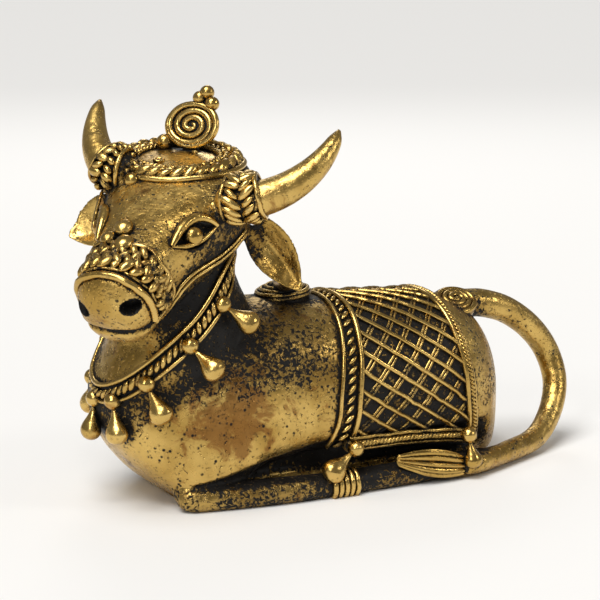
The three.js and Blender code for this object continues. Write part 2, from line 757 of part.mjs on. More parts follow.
// The noseband: a lower wire round the muzzle, an upper one that dips to meet it at each
// cheek, leaves between them, and a flower of three balls on top.
function noseband() {
  const around = (t) => rad(faceMiddle + nosebandRound * (2 * t - 1));
  const lower = (t) => 0.885 - 0.03 * (2 * t - 1) ** 2;
  const upper = (t) => 0.6 + 0.2 * (2 * t - 1) ** 4;
  const columns = 13;
  // Share of the way from the lower wire to the upper one, height there, and the leaves' swell.
  const levels = [
    [0, 0.1, 0], [0.08, 1.6, 0], [0.18, 0.4, 0], [0.36, 0.8, 0.45], [0.54, 0.8, -0.45], [0.72, 0.8, 0.45],
    [0.9, 1.3, 0], [1, 0.1, 0],
  ];
  const rows = times(columns + 1, (i) => {
    const t = i / columns;
    return levels.map(([share]) => spot(head, THREE.MathUtils.lerp(lower(t), upper(t), share), around(t)));
  });
  const leaves = sheetOver(rows, (i, j) => levels[j][1] + (i % 2 ? levels[j][2] : -levels[j][2]), 1);
  const flower = [[0.53, -2], [0.59, -13], [0.6, 1]].map(([u, a]) => ball(
    spot(head, u, rad(faceMiddle + a), 0.4).point, 3.1));
  return [leaves, ...flower];
}

// A strap from the noseband back over each cheek to the ear.
function cheekStraps() {
  return [1, -1].map((side) => thread(
    track(head, 6, (t) => [0.83 - 0.79 * t, side * rad(104 - 2 * t)]), 1.8, 1.1));
}

const nostril = (side) => stand(new THREE.SphereGeometry(1, 7, 4).scale(2.6, 3.2, 2.2),
  headSpot(0.945, -0.03 + 0.31 * side, 0.14), headAxes.h, headAxes.l);

const leftEar = { root: headSpot(-0.02, 1, -0.57), tip: headSpot(0.13, 1.62, -1.16), width: leftEarWidth };
const rightEar = { root: headSpot(0.17, -0.85, -0.17), tip: headSpot(0.28, -1.55, -0.45), width: rightEarWidth };
const { pieces: eyePieces, hollows } = eyes();
const parts = [
  skin(torso, 13, 18), skin(belly, 6, 10), skin(neck, 6, 14), skin(head, 12, 16),
  horn(1), horn(-1), sleeve(1), sleeve(-1),
  ear(leftEar, headWay(0.5, 0.4, 0.75)), ear(rightEar, headWay(0.4, -0.3, 0.85)),
  ...legs(1), ...legs(-1), tail(), tuft(), tailCoil(), ...cloth(), ...collar(), ...crownPieces(), ...crest(),
  ...hump(leftEar.root.clone().lerp(leftEar.tip, 0.75)), ...noseband(), ...cheekStraps(),
];
const union = (list) => wasm.Manifold.union(list.map(solid));
const below = solid(new THREE.BoxGeometry(400, 400, 100).translate(0, 0, -50));
const joined = union(parts)
  .subtract(union([...hollows, nostril(1), nostril(-1)]))
  .add(union(eyePieces))
  .subtract(below);
// The outer skin alone: gaps left inside, between the pieces, are filled.
const [whole] = joined.decompose().sort((a, b) => b.volume() - a.volume());
const { min, max } = whole.boundingBox();
const body = whole.simplify(0.06).translate(-(min[0] + max[0]) / 2, -(min[1] + max[1]) / 2, 0);
const mesh = body.getMesh();
const geometry = new THREE.BufferGeometry();
geometry.setAttribute('position', new THREE.BufferAttribute(mesh.vertProperties, 3));
geometry.setIndex(new THREE.BufferAttribute(mesh.triVerts, 1));

const brass = new THREE.MeshStandardMaterial({ color: 0xb08a3c, roughness: 0.35, metalness: 1 });
const figure = new THREE.Group();
const bull = new THREE.Mesh(geometry, brass);
bull.name = 'nandi_bull';
figure.add(bull);

export default figure;
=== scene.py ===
import math

import bmesh
import bpy
import numpy as np
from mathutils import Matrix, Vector
from mathutils.bvhtree import BVHTree


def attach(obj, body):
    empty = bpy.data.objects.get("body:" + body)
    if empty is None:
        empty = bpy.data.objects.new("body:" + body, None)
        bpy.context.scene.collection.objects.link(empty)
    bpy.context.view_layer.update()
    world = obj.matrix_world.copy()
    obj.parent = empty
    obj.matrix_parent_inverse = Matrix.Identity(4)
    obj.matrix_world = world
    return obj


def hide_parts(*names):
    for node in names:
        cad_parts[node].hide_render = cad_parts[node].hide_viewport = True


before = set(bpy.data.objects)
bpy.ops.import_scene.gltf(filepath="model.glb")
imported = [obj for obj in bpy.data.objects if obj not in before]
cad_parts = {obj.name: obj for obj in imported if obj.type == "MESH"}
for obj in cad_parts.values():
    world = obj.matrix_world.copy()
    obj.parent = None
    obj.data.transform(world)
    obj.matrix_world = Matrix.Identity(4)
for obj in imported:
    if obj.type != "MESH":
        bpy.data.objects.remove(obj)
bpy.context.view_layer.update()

mm = 0.001


# The table and the light
# A pale matt table under a broad high light, with three small lamps for the glints. The camera
# looks down a little on the bull's left side.
camera_turn, camera_rise, camera_distance = math.radians(-28), math.radians(11), 500 * mm
looked_at = Vector((-6.25, 5.05, 46)) * mm

camera = bpy.data.objects.new("camera", bpy.data.cameras.new("camera"))
camera.data.sensor_width, camera.data.lens = 36, 117
outward = Vector((math.sin(camera_turn) * math.cos(camera_rise),
                  -math.cos(camera_turn) * math.cos(camera_rise), math.sin(camera_rise)))
camera.location = looked_at + outward * camera_distance
camera.rotation_euler = outward.to_track_quat("Z", "Y").to_euler()
camera.data.clip_start = 0.01
bpy.context.collection.objects.link(camera)
bpy.context.scene.camera = camera


def lamp(name, place, size, power, colour):
    light = bpy.data.objects.new(name, bpy.data.lights.new(name, "AREA"))
    light.data.shape, light.data.size = "SQUARE", size
    light.data.energy, light.data.color = power, colour
    light.location = place
    light.rotation_euler = (Vector(place) - looked_at).to_track_quat("Z", "Y").to_euler()
    bpy.context.collection.objects.link(light)


lamp("left_lamp", (-0.75, -0.65, 0.55), 0.22, 2.0, (1, 0.99, 0.97))
lamp("right_lamp", (0.65, -0.6, 0.5), 0.16, 1.2, (1, 0.98, 0.95))
lamp("back_lamp", (0.35, 0.75, 0.6), 0.3, 1.1, (1, 0.99, 0.97))
high_light = bpy.data.objects.new("high_light", bpy.data.lights.new("high_light", "SUN"))
high_light.data.energy, high_light.data.angle = 2.6, math.radians(36)
high_light.rotation_euler = (math.radians(14), math.radians(-22), 0)
bpy.context.collection.objects.link(high_light)
bpy.context.scene.view_settings.view_transform = "Standard"

world = bpy.data.worlds.new("room")
world.use_nodes = True
sky = world.node_tree.nodes["Background"].inputs
sky["Color"].default_value, sky["Strength"].default_value = (1, 0.98, 0.95, 1), 0.22
bpy.context.scene.world = world

table_width = 8
table_mesh = bpy.data.meshes.new("table")
half = table_width / 2
table_corners = [(-half, -half, 0), (half, -half, 0), (half, half, 0), (-half, half, 0)]
table_mesh.from_pydata(table_corners, [], [(0, 1, 2, 3)])
table = bpy.data.objects.new("table", table_mesh)
bpy.context.collection.objects.link(table)
table_paint = bpy.data.materials.new("table_paint")
table_paint.use_nodes = True
paint_shader = table_paint.node_tree.nodes["Principled BSDF"]
paint_shader.inputs["Base Color"].default_value = (0.86, 0.85, 0.83, 1)
paint_shader.inputs["Roughness"].default_value = 0.85
table_mesh.materials.append(table_paint)


# Brass
# Yellow brass as it comes from the clay mould: finely pitted, black in the hollows where the
# polishing didn't reach, and rubbed bright on everything that stands out.
def link(tree, source, target):
    tree.links.new(source, target)


def math_node(tree, operation, *values, clamp=False):
    node = tree.nodes.new("ShaderNodeMath")
    node.operation, node.use_clamp = operation, clamp
    for socket, value in zip(node.inputs, values):
        if isinstance(value, (int, float)):
            socket.default_value = value
        else:
            link(tree, value, socket)
    return node.outputs[0]


def noise_node(tree, place, scale, detail=4, roughness=0.55, distortion=0):
    node = tree.nodes.new("ShaderNodeTexNoise")
    node.inputs["Scale"].default_value = scale
    node.inputs["Detail"].default_value = detail
    node.inputs["Roughness"].default_value = roughness
    node.inputs["Distortion"].default_value = distortion
    link(tree, place, node.inputs["Vector"])
    return node.outputs["Fac"]


def ramp_node(tree, value, low, high):
    node = tree.nodes.new("ShaderNodeMapRange")
    node.interpolation_type = "SMOOTHSTEP"
    link(tree, value, node.inputs["Value"])
    for name, end in (("From Min", low), ("From Max", high)):
        if isinstance(end, (int, float)):
            node.inputs[name].default_value = end
        else:
            link(tree, end, node.inputs[name])
    return node.outputs["Result"]


def mix_node(tree, share, first, second):
    node = tree.nodes.new("ShaderNodeMix")
    node.data_type = "RGBA"
    for name, value in (("Factor", share), ("A", first), ("B", second)):
        socket = next(s for s in node.inputs if s.name == name and s.enabled)
        if isinstance(value, tuple):
            socket.default_value = (*value, 1)
        elif isinstance(value, (int, float)):
            socket.default_value = value
        else:
            link(tree, value, socket)
    return next(s for s in node.outputs if s.enabled)


def group(name, inputs, outputs):
    tree = bpy.data.node_groups.new(name, "ShaderNodeTree")
    for label, kind, value in inputs:
        socket = tree.interface.new_socket(label, in_out="INPUT", socket_type="NodeSocket" + kind)
        if value is not None:
            socket.default_value = value
    for label, kind in outputs:
        tree.interface.new_socket(label, in_out="OUTPUT", socket_type="NodeSocket" + kind)
    return tree, tree.nodes.new("NodeGroupInput").outputs, tree.nodes.new("NodeGroupOutput").inputs


# Black patina sits in the hollows, and breaks up into specks where the rubbing starts. Its level also carries painted
# shade, from how closed in each point is.
patina_and_shade_tree, given, put = group(
    "patina_and_shade_in_hollows",
    [("Place", "Vector", None), ("Patina and Shade", "Float", 0.0), ("Speck Scale", "Float", 1500.0),
     ("Spread", "Float", 0.7), ("Pits", "Float", 0.5)],
    [("Cover", "Float"), ("Depth", "Float")])
specks = patina_and_shade_tree.nodes.new("ShaderNodeTexNoise")
specks.inputs["Detail"].default_value = 3
specks.inputs["Roughness"].default_value = 0.6
specks.inputs["Distortion"].default_value = 0.7
link(patina_and_shade_tree, given["Place"], specks.inputs["Vector"])
link(patina_and_shade_tree, given["Speck Scale"], specks.inputs["Scale"])
broad = noise_node(patina_and_shade_tree, given["Place"], 160, 3)
uneven = math_node(patina_and_shade_tree, "MULTIPLY", math_node(patina_and_shade_tree, "SUBTRACT", broad, 0.5), 1.1)
speck = math_node(patina_and_shade_tree, "SUBTRACT", specks.outputs["Fac"], 0.5)
speck = math_node(patina_and_shade_tree, "MULTIPLY", math_node(patina_and_shade_tree, "MULTIPLY", speck, given["Spread"]), 3.0)
level = math_node(patina_and_shade_tree, "ADD", math_node(patina_and_shade_tree, "ADD", given["Patina and Shade"], uneven), speck)
pit_cells = patina_and_shade_tree.nodes.new("ShaderNodeTexVoronoi")
pit_cells.inputs["Scale"].default_value = 760
link(patina_and_shade_tree, given["Place"], pit_cells.inputs["Vector"])
pit = math_node(patina_and_shade_tree, "SUBTRACT", 1.0, ramp_node(patina_and_shade_tree, pit_cells.outputs["Distance"], 0.2, 0.4))
pitted = ramp_node(patina_and_shade_tree, noise_node(patina_and_shade_tree, given["Place"], 230, 5, 0.7), 0.5, 0.6)
pits_there = math_node(patina_and_shade_tree, "MULTIPLY", math_node(patina_and_shade_tree, "MULTIPLY", pit, pitted), given["Pits"])
link(patina_and_shade_tree, math_node(patina_and_shade_tree, "MAXIMUM", ramp_node(patina_and_shade_tree, level, 0.42, 0.62), pits_there), put["Cover"])
link(patina_and_shade_tree, ramp_node(patina_and_shade_tree, level, 0.3, 0.8), put["Depth"])

# The gold goes from straw to a browner yellow over the figure, with a few red-brown stains.
tones, given, put = group(
    "brass_tones",
    [("Place", "Vector", None), ("Pale", "Color", (0.9, 0.72, 0.4, 1)), ("Deep", "Color", (0.72, 0.5, 0.2, 1)),
     ("Stain", "Color", (0.5, 0.28, 0.1, 1)), ("Stained", "Float", 0.0)],
    [("Colour", "Color")])
drift = ramp_node(tones, noise_node(tones, given["Place"], 60, 3, 0.6), 0.35, 0.65)
stain_noise = noise_node(tones, given["Place"], 130, 5, 0.65, 0.6)
stains = ramp_node(tones, math_node(tones, "ADD", stain_noise, given["Stained"]), 0.58, 0.7)
body_tone = mix_node(tones, drift, given["Pale"], given["Deep"])
stained_share = math_node(tones, "MULTIPLY", stains, 0.75)
link(tones, mix_node(tones, stained_share, body_tone, given["Stain"]), put["Colour"])

# Fine scratches and dents, from the clay's grain and the polishing.
grain, given, put = group(
    "cast_grain",
    [("Place", "Vector", None), ("Pits", "Float", 0.5)],
    [("Height", "Float"), ("Rough", "Float")])
fine = noise_node(grain, given["Place"], 1700, 4, 0.7)
dents = noise_node(grain, given["Place"], 300, 3, 0.5)
pit_cells = grain.nodes.new("ShaderNodeTexVoronoi")
pit_cells.inputs["Scale"].default_value = 900
link(grain, given["Place"], pit_cells.inputs["Vector"])
holes = ramp_node(grain, pit_cells.outputs["Distance"], 0.0, 0.32)
where = ramp_node(grain, dents, 0.45, 0.6)
sunk = math_node(grain, "MULTIPLY", math_node(grain, "SUBTRACT", 1.0, holes), where)
height = math_node(grain, "ADD", math_node(grain, "MULTIPLY", fine, 0.14), dents)
height = math_node(grain, "SUBTRACT", height, math_node(grain, "MULTIPLY", sunk, given["Pits"]))
link(grain, height, put["Height"])
link(grain, ramp_node(grain, dents, 0.3, 0.7), put["Rough"])


# Black and dull brown for the patina. Through the closed-in level they also paint shade into closed-in places.
patina_and_shade_black, patina_and_shade_brown = (0.007, 0.006, 0.005), (0.11, 0.06, 0.018)


def brass(name, pits, spread, speck_scale, bump, rough, pale, deep, stain):
    material = bpy.data.materials.new(name)
    material.use_nodes = True
    tree = material.node_tree
    shader = tree.nodes["Principled BSDF"]
    place = tree.nodes.new("ShaderNodeTexCoord").outputs["Object"]
    grime = tree.nodes.new("ShaderNodeAttribute")
    grime.attribute_name = "grime"

    def use(group_tree, **values):
        node = tree.nodes.new("ShaderNodeGroup")
        node.node_tree = group_tree
        link(tree, place, node.inputs["Place"])
        for label, value in values.items():
            node.inputs[label.replace("_", " ")].default_value = value
        return node

    stained = tree.nodes.new("ShaderNodeAttribute")
    stained.attribute_name = "stained"
    rubbed = tree.nodes.new("ShaderNodeAttribute")
    rubbed.attribute_name = "rubbed"
    pits_left = math_node(tree, "MULTIPLY", math_node(tree, "SUBTRACT", 1.0, rubbed.outputs["Fac"]), pits)
    black = use(patina_and_shade_tree, Speck_Scale=speck_scale, Spread=spread)
    link(tree, pits_left, black.inputs["Pits"])
    link(tree, grime.outputs["Fac"], black.inputs["Patina and Shade"])
    gold = use(tones, Pale=(*pale, 1), Deep=(*deep, 1), Stain=(*stain, 1))
    link(tree, stained.outputs["Fac"], gold.inputs["Stained"])
    surface = use(grain)
    link(tree, pits_left, surface.inputs["Pits"])
    # The closed-in level browns the gold and the cover blackens it: patina in the hollows, partly painted shade.
    cover = black.outputs["Cover"]
    half_cover = ramp_node(tree, grime.outputs["Fac"], 0.1, 0.75)
    dull_share = math_node(tree, "MULTIPLY", half_cover, 0.7)
    dulled = mix_node(tree, dull_share, gold.outputs["Colour"], patina_and_shade_brown)
    link(tree, mix_node(tree, cover, dulled, patina_and_shade_black), shader.inputs["Base Color"])
    shader.inputs["Specular IOR Level"].default_value = 0.25
    covered = math_node(tree, "MULTIPLY", cover, 0.9)
    link(tree, math_node(tree, "SUBTRACT", 1.0, covered), shader.inputs["Metallic"])
    gold_rough = math_node(tree, "ADD", rough, math_node(tree, "MULTIPLY", surface.outputs["Rough"], 0.14))
    black_rough = math_node(tree, "MULTIPLY", cover, 0.22)
    link(tree, math_node(tree, "ADD", gold_rough, black_rough), shader.inputs["Roughness"])
    bump_node = tree.nodes.new("ShaderNodeBump")
    bump_node.inputs["Strength"].default_value = bump
    bump_node.inputs["Distance"].default_value = 0.5 * mm
    eaten = math_node(tree, "MULTIPLY", black.outputs["Depth"], 0.5)
    link(tree, math_node(tree, "SUBTRACT", surface.outputs["Height"], eaten), bump_node.inputs["Height"])
    link(tree, bump_node.outputs["Normal"], shader.inputs["Normal"])
    return material


cast_brass = brass("cast_brass", pits=1.0, spread=0.95, speck_scale=1050, bump=0.8, rough=0.23,
                   pale=(0.66, 0.445, 0.135), deep=(0.43, 0.265, 0.064), stain=(0.2, 0.075, 0.02))
wire_brass = brass("wire_brass", pits=0.3, spread=0.4, speck_scale=1900, bump=0.45, rough=0.17,
                   pale=(0.7, 0.475, 0.15), deep=(0.5, 0.32, 0.085), stain=(0.36, 0.18, 0.05))


# The body
# Torso, neck, folded legs and tail are one casting. The legs lie along the ground on both
# sides, and the tail swings out in an open loop and comes back along the left.
torso_length, torso_width, back_height = 115 * mm, 44 * mm, 49 * mm
poll_height, poll_ahead, poll_offset = 79.7 * mm, 37.1 * mm, 6 * mm
head_turn, head_dip, head_roll = math.radians(38), math.radians(42), math.radians(5)
shank_thickness, shank_spread, anklet_thickness, anklet_pitch = 6.5 * mm, 20 * mm, 8 * mm, 0.01386
tail_thickness, tail_reach = 8 * mm, 20 * mm
tuft_length, tuft_width = 19.8 * mm, 7.5 * mm
body_place = np.array((-6.25, 5.05, 0)) * mm
body_grain = 0.58 * mm
up = np.array((0.0, 0.0, 1.0))
rng = np.random.default_rng(7)


def unit(vectors):
    vectors = np.asarray(vectors, float)
    return vectors / np.maximum(np.linalg.norm(vectors, axis=-1, keepdims=True), 1e-12)


def between(rows, place):
    """The values of a table's rows at any place between, smoothly."""
    rows = np.asarray(rows, float)
    x, y = rows[:, 0], rows[:, 1:]
    place = np.clip(np.asarray(place, float), x[0], x[-1])
    i = np.clip(np.searchsorted(x, place, side="left") - 1, 0, len(x) - 2)
    slope = np.empty_like(y)
    slope[1:-1] = (y[2:] - y[:-2]) / (x[2:] - x[:-2])[:, None]
    slope[0] = (y[1] - y[0]) / (x[1] - x[0])
    slope[-1] = (y[-1] - y[-2]) / (x[-1] - x[-2])
    gap = (x[i + 1] - x[i])[..., None]
    t = ((place - x[i])[..., None]) / gap
    return ((2 * t**3 - 3 * t**2 + 1) * y[i] + (t**3 - 2 * t**2 + t) * gap * slope[i]
            + (3 * t**2 - 2 * t**3) * y[i + 1] + (t**3 - t**2) * gap * slope[i + 1])


def signed_power(value, power):
    return np.sign(value) * np.abs(value) ** power


def body_x(share):
    return (np.asarray(share, float) - 0.5) * torso_length


# Torso: place along it, then belly, widest and back heights, width, and how square the belly is.
torso_shape = [
    (0, 0.5, 0.57, 0.63, 0.02, 0.66), (0.02, 0.38, 0.55, 0.72, 0.4, 0.66),
    (0.06, 0.23, 0.53, 0.85, 0.66, 0.6), (0.13, 0.07, 0.48, 0.95, 0.87, 0.5),
    (0.2, 0.02, 0.46, 0.99, 0.97, 0.42), (0.3, 0.13, 0.46, 0.99, 1, 0.5),
    (0.42, 0.16, 0.46, 0.98, 0.98, 0.62), (0.56, 0.18, 0.45, 0.96, 0.97, 0.66),
    (0.72, 0.17, 0.45, 0.94, 0.98, 0.66), (0.84, 0.12, 0.44, 0.91, 0.93, 0.66),
    (0.91, 0.05, 0.41, 0.83, 0.78, 0.66), (0.96, 0.01, 0.37, 0.68, 0.53, 0.66),
    (0.99, 0.05, 0.33, 0.5, 0.25, 0.66), (1, 0.3, 0.32, 0.36, 0.02, 0.66)]
belly_shape = [(0.17, 0.3), (0.2, 0.58), (0.28, 0.66), (0.5, 0.66), (0.8, 0.68), (0.9, 0.6), (0.95, 0.3)]
neck_shape = [
    (0, 0.94, 20, 20, 14), (0.28, 1.01, 25, 21.3, 17.8), (0.43, 1, 22, 17.3, 17), (0.59, 1.02, 17, 15, 15),
    (0.75, 1, 8, 15, 14), (0.9, 0.95, 0, 11, 11)]
neck_foot = 0.49 * back_height


def stack(*values):
    return np.stack(np.broadcast_arrays(*values), axis=-1)


# Each surface gives its points from a place along it and an angle round it.
def torso_at(u, a):
    low, middle, top, wide, square = np.moveaxis(between(torso_shape, u), -1, 0)
    over = np.cos(a) > 0
    full = np.where(over, 0.86, square)
    rise = np.where(over, top - middle, middle - low)
    return stack(body_x(u), -wide * torso_width / 2 * signed_power(np.sin(a), full),
                 back_height * (middle + rise * signed_power(np.cos(a), full)))


def torso_middle(u, a):
    return stack(body_x(u), 0 * a, 0.45 * back_height + 0 * a)


def belly_at(u, a):
    wide = between(belly_shape, u)[..., 0]
    return stack(body_x(u), -wide * torso_width * signed_power(np.sin(a), 0.6) / 2,
                 0.3 * back_height * (0.85 + signed_power(np.cos(a), 0.5)))


def neck_middle(u, a):
    ahead = between(neck_shape, u)[..., 0]
    return stack(-poll_ahead * ahead, -poll_offset * (0.25 + 0.75 * u) + 0 * a,
                 neck_foot + (poll_height - neck_foot) * u)


def neck_at(u, a):
    _, tilt, deep, wide = np.moveaxis(between(neck_shape, u), -1, 0)
    turn, tilt = head_turn * u * u, np.radians(tilt)
    front = stack(-np.cos(turn) * np.cos(tilt), -np.sin(turn) * np.cos(tilt), -np.sin(tilt))
    left = stack(np.sin(turn), -np.cos(turn), 0 * turn)
    return (neck_middle(u, a) + front * (deep * mm * np.cos(a))[..., None]
            + left * (wide * mm * np.sin(a))[..., None])


def spot(surface, middle, u, a, lift=0.0):
    """Points of a surface, raised by lift, and the directions out of it there."""
    u, a = np.broadcast_arrays(np.asarray(u, float), np.asarray(a, float))
    step = 0.004
    point = surface(u, a)
    normal = unit(np.cross(surface(u + step, a) - surface(u - step, a),
                           surface(u, a + step) - surface(u, a - step)))
    turned = np.sum(normal * (point - middle(u, a)), axis=-1) < 0
    normal = np.where(turned[..., None], -normal, normal)
    return point + normal * np.asarray(lift, float)[..., None], normal


def loft(rings, loop=False):
    """A closed body through rings of points, or a closed loop of them."""
    rings = np.asarray(rings)
    count, sides = rings.shape[:2]
    points = rings.reshape(-1, 3)
    i = np.arange(count if loop else count - 1)[:, None]
    j = np.arange(sides)[None, :]
    after, beside = (i + 1) % count, (j + 1) % sides
    corners = (i * sides + j, i * sides + beside, after * sides + beside, after * sides + j)
    faces = np.stack([np.broadcast_to(c, (len(i), sides)) for c in corners], axis=-1).reshape(-1, 4).tolist()
    if not loop:
        faces.append(list(range(sides))[::-1])
        faces.append(list(range((count - 1) * sides, count * sides)))
    return points, faces


def skin(surface, start, end, rings=64, sides=72):
    share = 0.5 - 0.5 * np.cos(np.pi * np.linspace(0.004, 0.996, rings))
    u = (start + (end - start) * share)[:, None]
    a = np.linspace(0, 2 * np.pi, sides, endpoint=False)[None, :]
    u, a = np.broadcast_arrays(u, a)
    return loft(surface(u, a))


def ways(points, loop=False):
    points = np.asarray(points)
    if loop:
        return unit(np.roll(points, -1, axis=0) - np.roll(points, 1, axis=0))
    return unit(np.gradient(points, axis=0))


def smooth_path(points, count):
    """Evenly spaced points on a smooth curve through a few chosen ones."""
    points = np.asarray(points, float)
    gaps = np.linalg.norm(np.diff(points, axis=0), axis=1) ** 0.5
    place = np.concatenate([[0], np.cumsum(gaps)])
    fine = between(np.column_stack([place, points]), np.linspace(0, place[-1], 40 * len(points)))
    run = np.concatenate([[0], np.cumsum(np.linalg.norm(np.diff(fine, axis=0), axis=1))])
    even = np.linspace(0, run[-1], count)
    return np.column_stack([np.interp(even, run, fine[:, k]) for k in range(fine.shape[1])])


def bar(points, radii, normal=up, sides=28, flat=1.0):
    """A round bar along a path, with its own radius at each point and rounded ends."""
    points, radii = np.asarray(points, float), np.asarray(radii, float)
    way = ways(points)
    side = unit(np.cross(normal, way))
    out = np.cross(way, side)
    a = np.linspace(0, 2 * np.pi, sides, endpoint=False)
    rings = [points[0] - way[0] * radii[0] * 0.45 + 0 * a[:, None]
             + (side[0] * np.cos(a)[:, None] + out[0] * np.sin(a)[:, None]) * radii[0] * 0.55]
    for p, s, o, r in zip(points, side, out, radii):
        rings.append(p + (s * np.cos(a)[:, None] + flat * o * np.sin(a)[:, None]) * r)
    rings.append(points[-1] + way[-1] * radii[-1] * 0.45
                 + (side[-1] * np.cos(a)[:, None] + out[-1] * np.sin(a)[:, None]) * radii[-1] * 0.55)
    return loft(rings)


def leg(side):
    back = 0 if side > 0 else 0.05
    ground = (0.5 * shank_thickness - 0.3 * mm) / back_height
    arm = [(0.42 + back, 0.45, 0.44, 2.3), (0.4 + back, 0.5, 0.4, 2.6), (0.31 + back, 0.62, 0.31, 2.7),
           (0.23 + back, 0.73, 0.19, 2.1), (0.17 + back, 0.8, 0.1, 1.4), (0.14 + back, 0.76, 0.07, 0.8)]
    shank = [(0.14 + back, 0.84, ground, 0.7), (0.17 + back, 0.9, ground, 0.97), (0.35, 1.06, ground, 1),
             (0.46, 1.1, ground, 0.92), (0.55, 1.1, ground, 0.9), (0.75, 1.06, ground, 0.92),
             (0.89, 0.92, ground, 0.8)]
    limbs = []
    for rows in (arm, shank):
        line = smooth_path([(body_x(share), -side * shank_spread * out, high * back_height,
                             shank_thickness * thick / 2) for share, out, high, thick in rows], 60)
        limbs.append(bar(line[:, :3], line[:, 3]))
    return limbs


def tail_point(out, side, high):
    return (body_x(1) + out * tail_reach, -side * mm, high * back_height)


tail_route = [
    (-0.75, 0, 0.84), (-0.4, 0, 0.83), (-0.1, 0, 0.82), (0.3, 0, 0.765), (0.7, 0, 0.65), (0.99, 0, 0.5),
    (1.03, 3, 0.34), (0.82, 7, 0.19), (0.4, 12, 0.085), (-0.3, 18.5, 0.07), (-0.9, 23.6, 0.07),
    (-1.1, 24.4, 0.075)]
tail_line = smooth_path([tail_point(*place) for place in tail_route], 150)
tail_radius = tail_thickness / 2 * (1 - 0.34 * np.linspace(0, 1, 150))


def to_object(name, points, faces):
    mesh = bpy.data.meshes.new(name)
    mesh.from_pydata((np.asarray(points) + body_place).tolist(), [], faces)
    mesh.validate()
    thing = bpy.data.objects.new(name, mesh)
    bpy.context.collection.objects.link(thing)
    return thing


def joined(pieces):
    points, faces, first = [], [], 0
    for some, corners in pieces:
        points.append(np.asarray(some))
        faces += [[first + c for c in face] for face in corners]
        first += len(some)
    return np.concatenate(points), faces


def outwards(thing):
    """Each closed part of a mesh gets its faces turned out."""
    edit = bmesh.new()
    edit.from_mesh(thing.data)
    bmesh.ops.recalc_face_normals(edit, faces=edit.faces)
    edit.to_mesh(thing.data)
    edit.free()


def applied(thing):
    """The thing's modifiers, worked into its mesh."""
    shape = bpy.data.meshes.new_from_object(thing.evaluated_get(bpy.context.evaluated_depsgraph_get()))
    thing.modifiers.clear()
    thing.data = shape
    return thing


def cast(name, pieces, grain_size, softening):
    """One cast skin over several closed forms, softened where they meet."""
    thing = to_object(name, *joined(pieces))
    outwards(thing)
    fused = thing.modifiers.new("fused", "REMESH")
    fused.mode, fused.voxel_size = "VOXEL", grain_size
    soft = thing.modifiers.new("soft", "SMOOTH")
    soft.factor, soft.iterations = 0.5, softening
    return applied(thing)


def get_points(thing):
    points = np.empty(3 * len(thing.data.vertices))
    thing.data.vertices.foreach_get("co", points)
    return points.reshape(-1, 3) - body_place


def set_points(thing, points):
    thing.data.vertices.foreach_set("co", (points + body_place).ravel())
    thing.data.update()


def get_normals(thing):
    normals = np.empty(3 * len(thing.data.vertices))
    thing.data.vertex_normals.foreach_get("vector", normals)
    return normals.reshape(-1, 3)


pieces_made = []


def finish_piece(thing, material):
    thing.data.materials.clear()
    thing.data.materials.append(material)
    thing.data.shade_smooth()
    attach(thing, "root")
    pieces_made.append(thing)


def on_the_table(points):
    """Cut level where it stands."""
    points[:, 2] = np.maximum(points[:, 2], 0)
    return points


def fade(value, start, end):
    """0 up to the start, 1 from the end on, and evenly between them."""
    return np.clip((value - start) / (end - start), 0, 1)


tail = bar(tail_line, tail_radius, np.array((0.0, 1.0, 0.0)))
torso, belly, neck = skin(torso_at, 0, 1, 96, 96), skin(belly_at, 0.17, 0.95, 48, 64), skin(neck_at, 0, 0.9)
body = cast("body", [torso, belly, neck, *leg(1), *leg(-1), tail], body_grain, 3)

# A slot is cut between the flank and the shank, and rises towards the rear.
slot_depth = 1.7 * mm
points = get_points(body)
x, y, z = (points / mm).T
slot_top = np.minimum(7 + 0.19 * (x + 42), 14)
slot = fade(np.abs(y), 13, 15) * fade(z, 5.2, 6.3) * fade(z, slot_top, slot_top - 1.4)
slot *= fade(x, -43, -39) * fade(x, 48, 43)
points[:, 1] -= np.sign(y) * slot * slot_depth
set_points(body, on_the_table(points))
finish_piece(body, cast_brass)
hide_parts("nandi_bull")


# The head
# The head is turned a little to the bull's left and looks down. Horns, ears and the dome of
# the crown are cast with it, and the eye sockets and nostrils are cut in.
head_length, head_width, head_depth, muzzle_shift = 44 * mm, 34 * mm, 26 * mm, -0.07
head_grain = 0.45 * mm
poll = np.array((-poll_ahead, -poll_offset, poll_height))
ahead = np.array((-math.cos(head_turn), -math.sin(head_turn), 0))
leftward = np.array((math.sin(head_turn), -math.cos(head_turn), 0))
level = ahead * math.sin(head_dip) + up * math.cos(head_dip)
head_h = ahead * math.cos(head_dip) - up * math.sin(head_dip)
head_l = leftward * math.cos(head_roll) - level * math.sin(head_roll)
head_n = level * math.cos(head_roll) + leftward * math.sin(head_roll)
# Head: place along it, then jaw, widest and brow heights, and width.
head_shape = [
    (-0.39, -0.5, -0.4, -0.3, 0.03), (-0.36, -0.62, -0.4, -0.25, 0.5), (-0.27, -0.75, -0.3, -0.13, 0.8),
    (-0.12, -0.82, -0.22, 0.02, 0.98), (0.07, -0.82, -0.2, 0.16, 1.02), (0.2, -0.8, -0.18, 0.2, 0.97),
    (0.38, -0.74, -0.15, 0.25, 0.84), (0.55, -0.64, -0.1, 0.31, 0.66), (0.7, -0.52, -0.04, 0.36, 0.53),
    (0.86, -0.42, 0, 0.38, 0.52), (0.94, -0.36, -0.02, 0.28, 0.47), (0.985, -0.28, -0.04, 0.16, 0.3),
    (1, -0.15, -0.05, 0.04, 0.05)]


def head_way(along, side, out):
    return (np.multiply.outer(along, head_h) + np.multiply.outer(side, head_l)
            + np.multiply.outer(out, head_n))


def head_spot(along, side, out):
    return poll + head_way(np.asarray(along) * head_length, np.asarray(side) * head_width / 2,
                           np.asarray(out) * head_depth)


